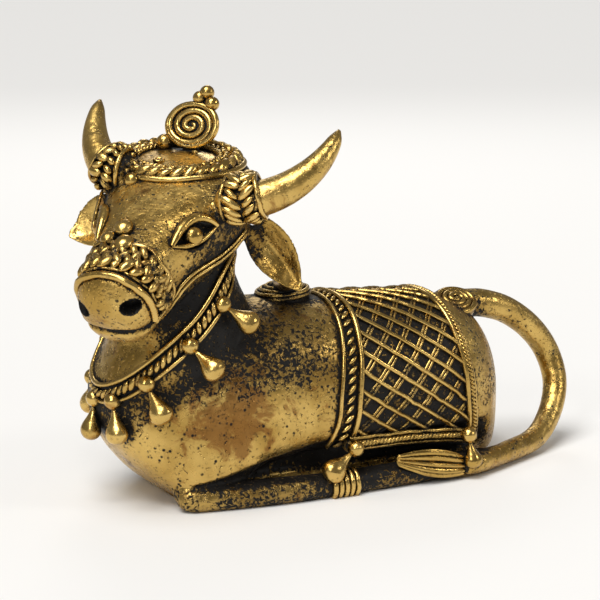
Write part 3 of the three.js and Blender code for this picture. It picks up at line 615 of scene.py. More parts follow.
def head_at(u, a):
    low, middle, top, wide = np.moveaxis(between(head_shape, u), -1, 0)
    rise = np.where(np.cos(a) > 0, top - middle, middle - low)
    side = muzzle_shift * np.maximum(u, 0) ** 2 + wide * signed_power(np.sin(a), 0.75)
    return head_spot(u, side, middle + rise * signed_power(np.cos(a), 0.75))


def head_middle(u, a):
    return head_spot(u, 0 * u, -0.2 + 0 * u)


horn_forms = {1: (0.12, 0.9, 20.5 * mm, 23 * mm), -1: (0.03, 0.74, 12.5 * mm, 20.5 * mm)}
horn_thickness, horn_tip = 9 * mm, 2.2 * mm


def horn_line(side, count=80):
    along, out, spread, rise = horn_forms[side]
    t = np.linspace(0, 1, count)
    turn = np.pi / 2 * t
    away = head_way(-rise * (1 - np.cos(turn)), side * (spread * np.sin(turn) + 1.5 * mm * t), 3 * mm * t**2)
    return head_spot(along, side * out, 0.06) + away


def horn(side):
    t = np.linspace(0, 1, 80)
    radius = (horn_tip + (horn_thickness - horn_tip) * (1 - t**2.2) ** 0.9) / 2
    radius = radius * (1 - 0.6 * np.clip((t - 0.9) / 0.1, 0, 1) ** 2)
    return bar(horn_line(side), radius, head_n)


ears = {1: (head_spot(-0.02, 1, -0.57), head_spot(0.13, 1.62, -1.16), 10.5 * mm, (0.5, 0.4, 0.75)),
        -1: (head_spot(0.17, -0.85, -0.17), head_spot(0.28, -1.55, -0.45), 13 * mm, (0.4, -0.3, 0.85))}
ear_thickness, ear_cup = 1.8 * mm, 2.5 * mm


def ear(root, tip, width, facing):
    """A leaf, cupped towards the front, with a rounded rim."""
    axis = tip - root
    length = np.linalg.norm(axis)
    axis = axis / length
    across = unit(np.cross(axis, head_way(*facing)))
    out = unit(np.cross(across, axis))
    rings = []
    for t in np.linspace(0, 1, 44):
        half_width = width / 2 * (0.22 * (1 - t) + 0.9 * math.sin(math.pi * min(1, t * 0.82 + 0.16)) ** 0.9)
        v = np.linspace(-1, 1, 17)
        cup = ear_cup * (1 - v * v) * math.sin(math.pi * (0.15 + 0.8 * t))
        rim = ear_thickness * np.maximum(0.15, 1 - np.abs(v) ** 6) ** 0.5

        def face(side):
            return (root + axis * length * t + across * (half_width * v)[:, None]
                    + out * (1.5 * mm * t * t - cup + side * rim / 2)[:, None])
        rings.append(np.concatenate([face(1), face(-1)[::-1]]))
    return loft(rings)


crown_width, crown_depth, crown_tilt = 30.5 * mm, 26.5 * mm, math.radians(31)
crown_back = head_way(-math.cos(crown_tilt), 0, -math.sin(crown_tilt))
crown_top = head_way(-math.sin(crown_tilt), 0, math.cos(crown_tilt))
crown_centre = head_spot(0.07, -0.2, 0.15) + crown_back * crown_depth / 2


def crown_spot(a, share, lift):
    """Angle 0 is the front of the crown, and it grows towards the bull's left."""
    return (crown_centre + np.multiply.outer(share * crown_width / 2 * np.sin(a), head_l)
            - np.multiply.outer(share * crown_depth / 2 * np.cos(a), crown_back)
            + np.multiply.outer(lift + 0 * a, crown_top))


def smooth_rows(rows, count):
    """A table's rows, with smooth ones between them."""
    return between(np.column_stack([np.arange(len(rows)), rows]), np.linspace(0, len(rows) - 1, count))


crown_rings = [(0.85, -5.5), (0.96, -3.6), (0.985, -2), (0.98, -0.8), (0.92, 0.1), (0.8, 0.5), (0.55, 1.2),
               (0.3, 1.7), (0.02, 1.9)]
round_once = np.linspace(0, 2 * np.pi, 96, endpoint=False)
crown_dome = loft([crown_spot(round_once, share, lift * mm) for share, lift in smooth_rows(crown_rings, 40)])

skull = skin(head_at, -0.39, 1, 96, 96)
head = cast("head", [skull, horn(1), horn(-1), ear(*ears[1]), ear(*ears[-1]), crown_dome], head_grain, 2)

eye_along, eye_size, eye_length = 0.4, 4.6 * mm, 14 * mm
eye_rounds = {1: math.radians(57.5), -1: math.radians(66)}


def eye_frame(side):
    centre, normal = spot(head_at, head_middle, eye_along, side * eye_rounds[side])
    front_round = side * (eye_rounds[side] - math.radians(11))
    front_corner = spot(head_at, head_middle, eye_along + 0.135, front_round)[0]
    forward = front_corner - centre
    forward = unit(forward - normal * np.dot(forward, normal))
    return centre, normal, forward, np.cross(normal, forward) * side


nostril_width, nostril_flat = 4.8 * mm, 0.8
nostrils = []
for u, a in ((0.95, 50), (0.965, -66)):
    hole, out = spot(head_at, head_middle, u, math.radians(a))
    inwards = -unit(head_h + 0.8 * out)
    wide_way = unit(np.cross(head_n, inwards))
    nostrils.append((hole, inwards, wide_way, unit(np.cross(inwards, wide_way))))
drills = [bar([hole - inwards * 4 * mm, hole, hole + inwards * 3 * mm], np.full(3, nostril_width / 2),
              head_n, 32, nostril_flat) for hole, inwards, _, _ in nostrils]
cutter = to_object("cutter", *joined(drills))
outwards(cutter)
bored = head.modifiers.new("bored", "BOOLEAN")
bored.operation, bored.solver, bored.object = "DIFFERENCE", "MANIFOLD", cutter
applied(head)
bpy.data.objects.remove(cutter)

def hill(value, centre, width):
    """1 at the centre, falling off softly to both sides of it."""
    return np.exp(-((value - centre) / width) ** 2)


socket_depth, brow_height, mouth_depth, dent_depth = 1.7 * mm, 0.7 * mm, 1 * mm, 0.9 * mm
points, normals = get_points(head), get_normals(head)
# How far each point is cut in. It is painted dark later, as painted shade in the recess and patina.
cut_in = np.zeros(len(points))
for side in (1, -1):
    centre, normal, forward, low = eye_frame(side)
    off = points - centre
    x, y, z = off @ forward, off @ low, off @ normal
    across = np.abs(y) / (2.6 * mm * np.maximum(0.05, 1 - (2 * x / eye_length) ** 2))
    almond = (2.2 * x / eye_length) ** 2 + across ** 1.6
    near = (np.abs(x) < 0.45 * eye_length) & (np.abs(z) < 6 * mm) & (normals @ normal > 0)
    socket = np.where(near, np.clip(1.25 - almond, 0, 0.5) / 0.5, 0)
    points -= normal * (socket * socket_depth)[:, None]
    cut_in = np.maximum(cut_in, socket)
    brow = hill(x, -2.5 * mm, 6 * mm) * hill(y, -5.5 * mm, 2.6 * mm) * (np.abs(z) < 8 * mm)
    points += normal * (brow * brow_height)[:, None]

for hole, inwards, wide_way, high_way in nostrils:
    off = points - hole
    ring = (off @ wide_way) ** 2 + (off @ high_way / nostril_flat) ** 2
    inside = (ring < (0.515 * nostril_width) ** 2) & (np.abs(off @ inwards) < 5 * mm)
    cut_in = np.maximum(cut_in, inside)
off = points - poll
along, out = off @ head_h / head_length, off @ head_n / head_depth
mouth = hill(out, 0.3 * (along - 0.95) - 0.13, 0.032) * fade(along, 0.8, 0.85)
points -= normals * (mouth * mouth_depth)[:, None]
cut_in = np.maximum(cut_in, 0.9 * mouth)
for side, (root, tip, width, facing) in ears.items():
    axis = unit(tip - root)
    across = unit(np.cross(axis, head_way(*facing)))
    out_of_ear = unit(np.cross(across, axis))
    off = points - root
    reach, sideways = off @ axis / np.linalg.norm(tip - root), off @ across / (width / 2)
    cup = fade(1.5 * np.abs(sideways), 1.15, 0.15) * fade(reach, 0, 0.15) * fade(reach, 0.97, 0.85)
    cup = cup * (np.abs(off @ out_of_ear) < 5 * mm) * (normals @ out_of_ear > 0.2)
    fold = 0.5 + 0.5 * np.cos(9 * sideways + 3 * reach)
    points -= out_of_ear * (cup * (0.5 + 0.35 * fold) * mm)[:, None]
    cut_in += cup * (0.35 * fold - 0.3)
dent = hill(along, 0.3, 0.13) * hill(off @ head_l, 0, 5 * mm) * (out > 0)
points -= head_n * (dent * dent_depth)[:, None]
set_points(head, points)
finish_piece(head, cast_brass)


# Wires
# Plain wax threads laid on the form: lids, straps, borders and ribs. Each follows a path over
# the surface and stands out by most of its thickness.
def socket_of(tree, name):
    return next(item.identifier for item in tree.interface.items_tree
                if item.item_type == "SOCKET" and item.in_out == "INPUT" and item.name == name)


def geometry_tree(name, inputs):
    tree = bpy.data.node_groups.new(name, "GeometryNodeTree")
    for label, kind in (("Geometry", "Geometry"), *inputs, ("Material", "Material")):
        tree.interface.new_socket(label, in_out="INPUT", socket_type="NodeSocket" + kind)
    tree.interface.new_socket("Geometry", in_out="OUTPUT", socket_type="NodeSocketGeometry")
    return tree, tree.nodes.new("NodeGroupInput").outputs


def node(tree, kind, settings=None, **sockets):
    made = tree.nodes.new(kind)
    for key, value in (settings or {}).items():
        setattr(made, key, value)
    for label, value in sockets.items():
        socket = made.inputs[label.replace("_", " ")]
        if isinstance(value, bpy.types.NodeSocket):
            link(tree, value, socket)
        else:
            socket.default_value = value
    return made


def end_tree(tree, geometry, material):
    """Smooth shading, plain mesh, material."""
    shaded = node(tree, "GeometryNodeSetShadeSmooth", Geometry=geometry).outputs[0]
    plain = node(tree, "GeometryNodeRealizeInstances", Geometry=shaded).outputs[0]
    painted = node(tree, "GeometryNodeSetMaterial", Geometry=plain, Material=material).outputs[0]
    link(tree, painted, tree.nodes.new("NodeGroupOutput").inputs[0])


def attribute(tree, name, kind="FLOAT"):
    return node(tree, "GeometryNodeInputNamedAttribute", {"data_type": kind}, Name=name).outputs["Attribute"]


wires_tree, given = geometry_tree("wires_on_paths", [("Sides", "Int")])
line = node(wires_tree, "GeometryNodeMeshToCurve", Mesh=given["Geometry"]).outputs[0]
ring = node(wires_tree, "GeometryNodeCurvePrimitiveCircle", Resolution=given["Sides"], Radius=1.0).outputs[0]
tube = node(wires_tree, "GeometryNodeCurveToMesh", Curve=line, Profile_Curve=ring, Fill_Caps=True,
            Scale=attribute(wires_tree, "radius_there")).outputs[0]
end_tree(wires_tree, tube, given["Material"])


def paths_object(name, paths):
    """Paths as a mesh of edges. Each has points, directions out, radii, and may be a loop."""
    points, out, radii, edges, first = [], [], [], [], 0
    for path in paths:
        count = len(path["points"])
        points.append(path["points"])
        out.append(np.broadcast_to(path["out"], (count, 3)))
        radii.append(np.broadcast_to(path["radius"], (count,)))
        edges += [(first + i, first + i + 1) for i in range(count - 1)]
        if path.get("loop"):
            edges.append((first + count - 1, first))
        first += count
    mesh = bpy.data.meshes.new(name)
    mesh.from_pydata((np.concatenate(points) + body_place).tolist(), edges, [])
    mesh.attributes.new("out", "FLOAT_VECTOR", "POINT").data.foreach_set("vector", np.concatenate(out).ravel())
    mesh.attributes.new("radius_there", "FLOAT", "POINT").data.foreach_set("value", np.concatenate(radii).ravel())
    thing = bpy.data.objects.new(name, mesh)
    bpy.context.collection.objects.link(thing)
    return thing


def grown(thing, tree, material, **values):
    """Runs a geometry tree on the thing and keeps the plain mesh that it makes."""
    modifier = thing.modifiers.new(tree.name, "NODES")
    modifier.node_group = tree
    modifier[socket_of(tree, "Material")] = material
    for label, value in values.items():
        modifier[socket_of(tree, label)] = value
    applied(thing)
    finish_piece(thing, material)
    return thing


def laid(points, out, radius, lift=0.25, across=0.0, loop=False, wobble=0.06, taper=False):
    """A path for a wire: lifted by a share of its radius, shifted across, a little uneven."""
    points, out = np.asarray(points), np.asarray(out)
    side = unit(np.cross(out, ways(points, loop)))
    count = len(points)
    t = np.arange(count)
    waves = sum(np.sin(2 * np.pi * (k * t / count + rng.random())) for k in (3, 5, 8)) / 3
    radius = np.broadcast_to(radius, (count,)) * (1 + wobble * waves)
    if taper:
        ends = np.minimum(t, t[::-1]) / 3
        radius = radius * np.clip(0.35 + 0.65 * ends, 0, 1)
    shift = np.asarray(across + 0.1 * mm * (wobble / 0.06) * np.roll(waves, count // 3))
    return {"points": points + side * shift[..., None] + out * (radius * lift)[:, None],
            "out": out, "radius": radius, "loop": loop}


def wires(name, paths, sides=10):
    return grown(paths_object(name, paths), wires_tree, wire_brass, Sides=sides)


# Eyes
# A ball in an almond socket painted dark (patina and painted shade), under a thick upper lid and over a thinner lower
# one.
def ball_mesh(place, radius, rings=16, sides=24, flat=1.0, out=up):
    """A ball, flattened along its direction out."""
    out = unit(out)
    first = unit(np.cross(out, (0.31, 0.85, 0.43)))
    second = np.cross(out, first)
    a = np.linspace(0, 2 * np.pi, sides, endpoint=False)
    rows = []
    for b in np.linspace(-0.5 * np.pi + 0.02, 0.5 * np.pi - 0.02, rings):
        around = first * np.cos(a)[:, None] + second * np.sin(a)[:, None]
        rows.append(place + (around * math.cos(b) + out * math.sin(b) * flat) * radius)
    return loft(rows)


def solid_piece(name, parts, material):
    thing = to_object(name, *joined(parts))
    outwards(thing)
    finish_piece(thing, material)
    return thing


lids, eye_balls = [], []
for side in (1, -1):
    centre, normal, forward, low = eye_frame(side)
    eye_balls.append(ball_mesh(centre - normal * 0.45 * mm + forward * 0.2 * mm, eye_size / 2, flat=0.9, out=normal))
    x = np.linspace(-1, 1, 40)
    for fold, height, radius, skew in ((-1, 3.9, 1.25, -0.35), (1, 1.7, 0.6, 0.1)):
        bow = fold * height * mm * (1 - x**2) * (1 + skew * x)
        flatly = centre + np.multiply.outer(x * eye_length / 2, forward) + np.multiply.outer(bow, low)
        probe = flatly - poll
        u = probe @ head_h / head_length
        a = np.full(40, side * eye_rounds[side])
        for _ in range(12):
            here = head_at(u, a)
            du = (head_at(u + 0.01, a) - here) / 0.01
            da = (head_at(u, a + 0.01) - here) / 0.01
            away = flatly - here
            u = u + 0.8 * np.sum(away * du, -1) / np.sum(du * du, -1)
            a = a + 0.8 * np.sum(away * da, -1) / np.sum(da * da, -1)
        on_face, out = spot(head_at, head_middle, u, a)
        swell = radius * mm * (0.45 + 0.55 * (1 - x**2))
        lids.append(laid(on_face, out, swell, lift=0.35, wobble=0.03))
solid_piece("eye_balls", eye_balls, wire_brass)
wires("eyelids", lids, sides=14)


# Placed grains
# Small wax shapes set one by one: leaves, balls and drops. Each place has a direction that the
# grain lies along, a direction out, and its own size.
copies_tree, given = geometry_tree("grains_on_places", [("Grain", "Object")])
shape = node(copies_tree, "GeometryNodeObjectInfo", Object=given["Grain"]).outputs["Geometry"]
turn = node(copies_tree, "FunctionNodeAxesToRotation", {"primary_axis": "Z", "secondary_axis": "X"},
            Primary_Axis=attribute(copies_tree, "out", "FLOAT_VECTOR"),
            Secondary_Axis=attribute(copies_tree, "way", "FLOAT_VECTOR")).outputs[0]
copies = node(copies_tree, "GeometryNodeInstanceOnPoints", Points=given["Geometry"], Instance=shape, Rotation=turn,
              Scale=attribute(copies_tree, "size", "FLOAT_VECTOR")).outputs[0]
end_tree(copies_tree, copies, given["Material"])


def grain_shape(name, points, faces):
    thing = to_object(name, np.asarray(points) - body_place, faces)
    outwards(thing)
    thing.data.shade_smooth()
    return thing


a = np.linspace(0, 2 * np.pi, 10, endpoint=False)
leaf_rows = [(-1, 0.12), (-0.85, 0.5), (-0.5, 0.9), (0, 1), (0.5, 0.88), (0.85, 0.45), (1, 0.1)]
leaf_grain = grain_shape("leaf_grain", *loft([stack(x + 0 * a, r * np.cos(a), r * np.sin(a)) for x, r in leaf_rows]))
ball_grain = grain_shape("ball_grain", *ball_mesh(np.zeros(3), 1, 12, 18))
a = np.linspace(0, 2 * np.pi, 22, endpoint=False)
drop_rows = [(0, 0.02), (0.03, 0.16), (0.15, 0.24), (0.35, 0.5), (0.55, 0.85), (0.7, 1), (0.82, 0.95), (0.92, 0.72),
             (0.98, 0.38), (1, 0.03)]
drop_rows = between(np.column_stack([np.arange(10), drop_rows]), np.linspace(0, 9, 26))
drop_grain = grain_shape("drop_grain", *loft([stack(x + 0 * a, r * np.cos(a), r * np.sin(a)) for x, r in drop_rows]))


def grains(name, shape, places):
    """Copies of a grain. Each place is a point, a direction along, a direction out and a size."""
    points, way, out, size = (np.array([np.broadcast_to(p[k], (3,)) for p in places]) for k in range(4))
    mesh = bpy.data.meshes.new(name)
    mesh.from_pydata((points + body_place).tolist(), [], [])
    for label, values in (("way", way), ("out", out), ("size", size)):
        mesh.attributes.new(label, "FLOAT_VECTOR", "POINT").data.foreach_set("vector", values.ravel())
    thing = bpy.data.objects.new(name, mesh)
    bpy.context.collection.objects.link(thing)
    return grown(thing, copies_tree, wire_brass, Grain=shape)


def leaf_row(points, out, pitch, length, width, height, slant, across=0.0, lift=0.1, loop=False, loose=1.0):
    """Leaves along a path, each slanted to it."""
    points, out = np.asarray(points), np.asarray(out)
    way = ways(points, loop)
    run = np.concatenate([[0], np.cumsum(np.linalg.norm(np.diff(points, axis=0), axis=1))])
    places = []
    for s in np.arange(pitch / 2, run[-1], pitch):
        at = [np.interp(s, run, points[:, k]) for k in range(3)]
        n = unit([np.interp(s, run, out[:, k]) for k in range(3)])
        w = unit([np.interp(s, run, way[:, k]) for k in range(3)])
        side = np.cross(n, w)
        tilt = slant + rng.normal(0, 0.07 * loose)
        sized = 1 + rng.normal(0, 0.06 * loose)
        along = w * math.cos(tilt) + side * math.sin(tilt)
        places.append((np.array(at) + side * across + n * lift * height + rng.normal(0, 0.05 * mm * loose, 3), along, n,
                       (length / 2 * sized, width / 2 * sized, height / 2)))
    return places


def drop_places(place, way, out, length, width, ball_size):
    """A ball, and the drop that hangs from it."""
    way, out = unit(way), unit(out)
    out = unit(out - way * np.dot(way, out))
    ball = (place, way, out, ball_size / 2)
    drop = (place + way * 0.36 * ball_size, way, out, (length - 0.36 * ball_size, width / 2, width / 2 * 0.85))
    return ball, drop


# The collar
# Two wires round the foot of the neck with a rope of leaves between, and balls with hanging
# drops along its lower wire.
collar_front, collar_back, collar_width = 0.25, 0.68, 4.4 * mm
drop_pitch, drop_length, drop_width, ball_size = 0.075, 10.6 * mm, 6 * mm, 4.3 * mm


def collar_way(t, shift=0.0):
    return collar_front + (collar_back - collar_front) * (1 - np.cos(2 * np.pi * t)) / 2 + shift, 2 * np.pi * t


t = np.linspace(0, 1, 220, endpoint=False)
collar_points, collar_out = spot(neck_at, neck_middle, *collar_way(t))
wires("collar_wires", [
    laid(collar_points, collar_out, 0.6 * mm, 0.9, collar_width / 2, loop=True),
    laid(collar_points, collar_out, 0.5 * mm, 0.9, -collar_width / 2, loop=True)])
grains("collar_leaves", leaf_grain, leaf_row(
    collar_points, collar_out, 1.9 * mm, 3.4 * mm, 1.5 * mm, 1.6 * mm, math.radians(38), lift=0.4, loop=True))
collar_balls, collar_drops = [], []
half_way = 0.5 * collar_width / (poll_height - neck_foot)
for i in range(-3, 5):
    t0 = (i - 0.27) * drop_pitch
    here, out = spot(neck_at, neck_middle, *collar_way(t0, -half_way), lift=0.9 * mm)
    there, _ = spot(neck_at, neck_middle, *collar_way(t0 + 0.01, -half_way))
    down = unit(np.cross(out, unit(there - here)))
    if down[2] > 0:
        down = -down
    down = down + out * 0.35 - up * 0.7 * math.cos(2 * np.pi * t0) ** 2
    ball, drop = drop_places(here, down, out, drop_length, drop_width, ball_size)
    collar_balls.append(ball)
    collar_drops.append(drop)
grains("collar_balls", ball_grain, collar_balls)
grains("collar_drops", drop_grain, collar_drops)


# The saddle cloth
# A lattice of ribs over a ground painted dark with patina and painted shade: thick ribs that fall to the
# rear, thin double ones under them, a broad rope band in front, and narrower bands behind and along the hem.
cloth_start, cloth_lean, cloth_rear_lean = 0.547, 3 * mm, -3.5 * mm
cloth_length, cloth_drop, band_width, hem_width = 32 * mm, 47 * mm, 5.4 * mm, 2.8 * mm
rib_pitch, rib_fall, rib_width = 5 * mm, math.radians(31), 1.15 * mm
cross_pitch, cross_rise = 4.85 * mm, math.radians(50)


def cloth_place(back, down, side, lift=0.0):
    """A place a distance behind the front edge and a distance down from the spine."""
    back, down = np.broadcast_arrays(np.asarray(back, float), np.asarray(down, float))
    u = cloth_start + back / torso_length
    angles = np.linspace(0, np.pi, 91)
    around = torso_at(u[..., None], angles)
    run = np.concatenate([np.zeros(u.shape + (1,)),
                          np.cumsum(np.linalg.norm(np.diff(around, axis=-2), axis=-1), axis=-1)], axis=-1)
    a = np.array([np.interp(d, r, angles) for d, r in zip(down.ravel(), run.reshape(-1, 91))]).reshape(down.shape)
    lean = cloth_lean + (cloth_rear_lean - cloth_lean) * back / cloth_length
    return spot(torso_at, torso_middle, u + lean * np.cos(a) / torso_length, side * a, lift)


def cloth_line(back, down, side, radius, lift=0.25, across=0.0, **more):
    return laid(*cloth_place(back, down, side), radius, lift, across, **more)


slope = math.tan(rib_fall)
ribs, cross_ribs = [], []
for side in (1, -1):
    for first in np.arange(rib_pitch / 2 - cloth_length * slope, cloth_drop, rib_pitch):
        start = np.clip(-first / slope, 0, cloth_length)
        end = np.clip((cloth_drop - first) / slope, 0, cloth_length)
        if end - start > 3 * mm:
            back = np.linspace(start, end, 50)
            ribs.append(cloth_line(back, first + slope * back, side, rib_width / 2, 0.75))
    rise = math.tan(cross_rise)
    for first in np.arange(1 * mm, cloth_drop + cloth_length * rise, cross_pitch / math.cos(cross_rise)):
        start = np.clip((first - cloth_drop) / rise, 0, cloth_length)
        end = np.clip(first / rise, 0, cloth_length)
        if end - start > 1 * mm:
            back = np.linspace(start, end, 40)
            for apart in (-0.45, 0.45):
                cross_ribs.append(cloth_line(back, first - rise * back, side, 0.36 * mm, 0.1, apart * mm))
wires("lattice_ribs", ribs)
wires("lattice_cross_ribs", cross_ribs, sides=6)


def over_back(back, count=150):
    down = np.linspace(-1, 1, count) * (cloth_drop + 1.5 * mm)
    left = cloth_place(back, np.abs(down), 1)
    right = cloth_place(back, np.abs(down), -1)
    chosen = (down > 0)[:, None]
    return np.where(chosen, left[0], right[0]), np.where(chosen, left[1], right[1])


def along_hem(side, down, count=80):
    """The hem hangs straight down from the lattice's lower edge."""
    points, out = cloth_place(np.linspace(-1 * mm, cloth_length + 2 * mm, count), cloth_drop - 1 * mm, side)
    out = unit(out * (1, 1, 0))
    return points - up * down + out * 0.5 * mm, out


borders = [
    laid(*over_back(-band_width), 0.55 * mm, 0.7), laid(*over_back(0), 0.7 * mm, 0.8),
    laid(*over_back(cloth_length + 0.4 * mm), 0.7 * mm, 0.8), laid(*over_back(cloth_length + 3.1 * mm), 0.4 * mm, 0.8)]
for side in (1, -1):
    borders.append(laid(*along_hem(side, 0.2 * mm), 0.6 * mm, 0.8, wobble=0.12))
    borders.append(laid(*along_hem(side, 3 * mm), 0.5 * mm, 0.8))
wires("cloth_borders", borders)
solid_piece("hem_backs", [bar(along_hem(side, 1.8 * mm)[0] - along_hem(side, 0)[1] * 0.5 * mm, np.full(80, 2 * mm),
                              np.array((0, 1.0, 0)), flat=0.45) for side in (1, -1)], cast_brass)
band_leaves = leaf_row(*over_back(-band_width / 2), 2.45 * mm, 3.1 * mm, 1.15 * mm, 1.4 * mm, math.radians(-42), lift=0.3)
grains("cloth_band_leaves", leaf_grain, band_leaves)


# Twisted ropes
# Two thin threads twisted together, for the finest borders.
rope_tree, given = geometry_tree("twisted_ropes", [("Pitch", "Float"), ("Sides", "Int")])
line = node(rope_tree, "GeometryNodeMeshToCurve", Mesh=given["Geometry"]).outputs[0]
step = math_node(rope_tree, "DIVIDE", given["Pitch"], 7)
line = node(rope_tree, "GeometryNodeResampleCurve", Curve=line)
mode = next((s for s in line.inputs if s.name == "Mode"), None)
if mode is None:
    line.mode = "LENGTH"
else:
    mode.default_value = "Length"
link(rope_tree, step, line.inputs["Length"])
line = line.outputs[0]
run = node(rope_tree, "GeometryNodeSplineParameter").outputs["Length"]
turned = math_node(rope_tree, "MULTIPLY", math_node(rope_tree, "DIVIDE", run, given["Pitch"]), 2 * math.pi)
thickness = attribute(rope_tree, "radius_there")
out = attribute(rope_tree, "out", "FLOAT_VECTOR")
way = node(rope_tree, "GeometryNodeInputTangent").outputs[0]


def vector_node(tree, operation, *values):
    made = tree.nodes.new("ShaderNodeVectorMath")
    made.operation = operation
    for value, socket in zip(values, (s for s in made.inputs if s.enabled)):
        link(tree, value, socket)
    return made.outputs[0]


side = vector_node(rope_tree, "NORMALIZE", vector_node(rope_tree, "CROSS_PRODUCT", way, out))
strands = node(rope_tree, "GeometryNodeJoinGeometry")
for strand in range(2):
    angle = math_node(rope_tree, "ADD", turned, math.pi * strand)

    def scaled(vector, amount):
        made = rope_tree.nodes.new("ShaderNodeVectorMath")
        made.operation = "SCALE"
        link(rope_tree, vector, made.inputs[0])
        link(rope_tree, math_node(rope_tree, "MULTIPLY", amount, thickness), made.inputs["Scale"])
        return made.outputs[0]
    offset = vector_node(rope_tree, "ADD", scaled(side, math_node(rope_tree, "COSINE", angle)),
                         scaled(out, math_node(rope_tree, "SINE", angle)))
    moved = node(rope_tree, "GeometryNodeSetPosition", Geometry=line, Offset=offset).outputs[0]
    ring = node(rope_tree, "GeometryNodeCurvePrimitiveCircle", Resolution=given["Sides"], Radius=1.15).outputs[0]
    tube = node(rope_tree, "GeometryNodeCurveToMesh", Curve=moved, Profile_Curve=ring, Fill_Caps=True,
                Scale=thickness).outputs[0]
    link(rope_tree, tube, strands.inputs[0])
end_tree(rope_tree, strands.outputs[0], given["Material"])


def ropes(name, paths, pitch):
    return grown(paths_object(name, paths), rope_tree, wire_brass, Pitch=pitch, Sides=6)


ropes("cloth_ropes", [laid(*over_back(cloth_length + 1.9 * mm), 0.42 * mm, 1.3)]
      + [laid(*along_hem(side, 1.6 * mm), 0.46 * mm, 1.7) for side in (1, -1)], 2.2 * mm)

corner_balls, corner_drops = [], []
for side in (1, -1):
    beside = -23.4 if side > 0 else 22
    front, front_out = np.array((3.4, beside, 11.8)) * mm, np.array((-0.2, -side, 0.2))
    rear, rear_out = np.array((35.8, beside - (1.6 if side > 0 else 0), 11.7)) * mm, np.array((0.1, -side, 0))
    for place, way, out, larger in ((front, (-1, -0.1 * side, -0.72), front_out, 1.05),
                                    (rear, (0.15, -0.14 * side, -1), rear_out, 0.84)):
        ball, drop = drop_places(place, np.array(way), out, drop_length * larger, drop_width * larger, ball_size)
        corner_balls.append(ball)
        corner_drops.append(drop)
grains("corner_balls", ball_grain, corner_balls)
grains("corner_drops", drop_grain, corner_drops)


# The crown's braid
# A thick wire and a plait of leaves run round the crown, with a finer rope inside them. A ball
# hangs at the front and a small ring lies on the dome.
a = np.linspace(-np.pi, np.pi, 160, endpoint=False)


head_surface = BVHTree.FromPolygons(get_points(head).tolist(), [tuple(face.vertices) for face in head.data.polygons])


def clear_of_head(points, gap):
    """Points that the cast head would cover are brought out to a gap above it."""
    moved = []
    for point in points:
        near, normal, _, _ = head_surface.find_nearest(Vector(point))
        height = (Vector(point) - near).dot(normal)
        moved.append(point if height > gap else np.array(near + normal * gap))
    return np.array(moved)


def crown_path(share, lift, gap=0.3 * mm):
    points = crown_spot(a, share, lift)
    return clear_of_head(points, gap), unit(crown_spot(a, share * 1.2, lift + 2 * mm) - points)


wires("crown_wires", [laid(*crown_path(1.07, -0.3 * mm), 0.85 * mm, 0, loop=True)])
crown_leaves = leaf_row(*crown_path(0.93, 0.4 * mm), 2.9 * mm, 5.6 * mm, 2.6 * mm, 2.7 * mm, math.radians(33),
                        lift=0.3, loop=True, loose=1.6)
crown_leaves += leaf_row(*crown_path(0.79, 0.9 * mm), 2.1 * mm, 3.4 * mm, 1.5 * mm, 1.7 * mm, math.radians(-35),
                         lift=0.3, loop=True, loose=1.6)
grains("crown_leaves", leaf_grain, crown_leaves)
ropes("crown_rope", [laid(*crown_path(0.69, 1.3 * mm), 0.42 * mm, 0.4, loop=True)], 2.4 * mm)
small_ring = (crown_spot(np.radians(-28), 0.4, 1.7 * mm) + np.multiply.outer(np.cos(round_once) * 1.1 * mm, head_l)
              + np.multiply.outer(np.sin(round_once) * 1.1 * mm, crown_back))
wires("crown_ring", [laid(small_ring, np.broadcast_to(crown_top, (96, 3)), 0.4 * mm, 0, loop=True)])


# The crest
# A flat coil of thread stands on the crown inside a thick rim, with balls on its edge.
crest_size, crest_squat, crest_thickness, crest_lean = 14.8 * mm, 0.8, 3 * mm, math.radians(18)
crest_turns = 2.9
crest_out = ahead * math.cos(crest_lean) + up * math.sin(crest_lean)
crest_high = up * math.cos(crest_lean) - ahead * math.sin(crest_lean)
crest_right = np.cross(crest_high, crest_out)
crest_centre = (crown_centre + crown_back * 0.13 * crown_depth + crest_high * (0.8 * mm + crest_size / 2)
                + crest_right * 0.09 * crest_size)


def crest_spot(across, above, out=0.0):
    return (crest_centre + np.multiply.outer(across * crest_size, crest_right)
            + np.multiply.outer(above * crest_size, crest_high) + np.multiply.outer(out, crest_out))


def crest_ring(size, out):
    return crest_spot(size * np.cos(round_once), size * crest_squat * np.sin(round_once), out + 0 * round_once)


solid_piece("crest_disc", [
    loft([crest_ring(0.05, -1.1 * mm), crest_ring(0.44, -1.1 * mm), crest_ring(0.475, -0.6 * mm), crest_ring(0.475, 0.2 * mm),
          crest_ring(0.44, 0.45 * mm), crest_ring(0.05, 0.45 * mm)]),
    bar(crest_spot(np.linspace(-0.12, 0.12, 12), -0.45 + np.zeros(12), np.full(12, -0.9 * mm)), np.full(12, 1.2 * mm),
        crest_high)],
    wire_brass)
turn = np.linspace(0, 1, 150)
angle = np.radians(80) - 2 * np.pi * crest_turns * turn
radius = 0.02 + 0.42 * turn
wires("crest_coil", [
    laid(crest_spot(radius * np.cos(angle), radius * crest_squat * np.sin(angle), 0.45 * mm + 0 * turn),
         np.broadcast_to(crest_out, (150, 3)), 0.86 * mm * np.clip(0.5 + 2 * turn, 0, 1), -0.1, wobble=0.03),
    laid(crest_ring(0.445, 0.3 * mm), np.broadcast_to(crest_out, (96, 3)), 0.85 * mm, 0.0, loop=True, wobble=0.03)],
    sides=14)
crest_balls = [(crest_spot(x, y), crest_out, crest_high, size * ball_size / 2)
               for x, y, size in ((0.07, 0.47, 0.85), (0.31, 0.38, 0.85), (0.19, 0.57, 0.85), (-0.48, -0.31, 1))]
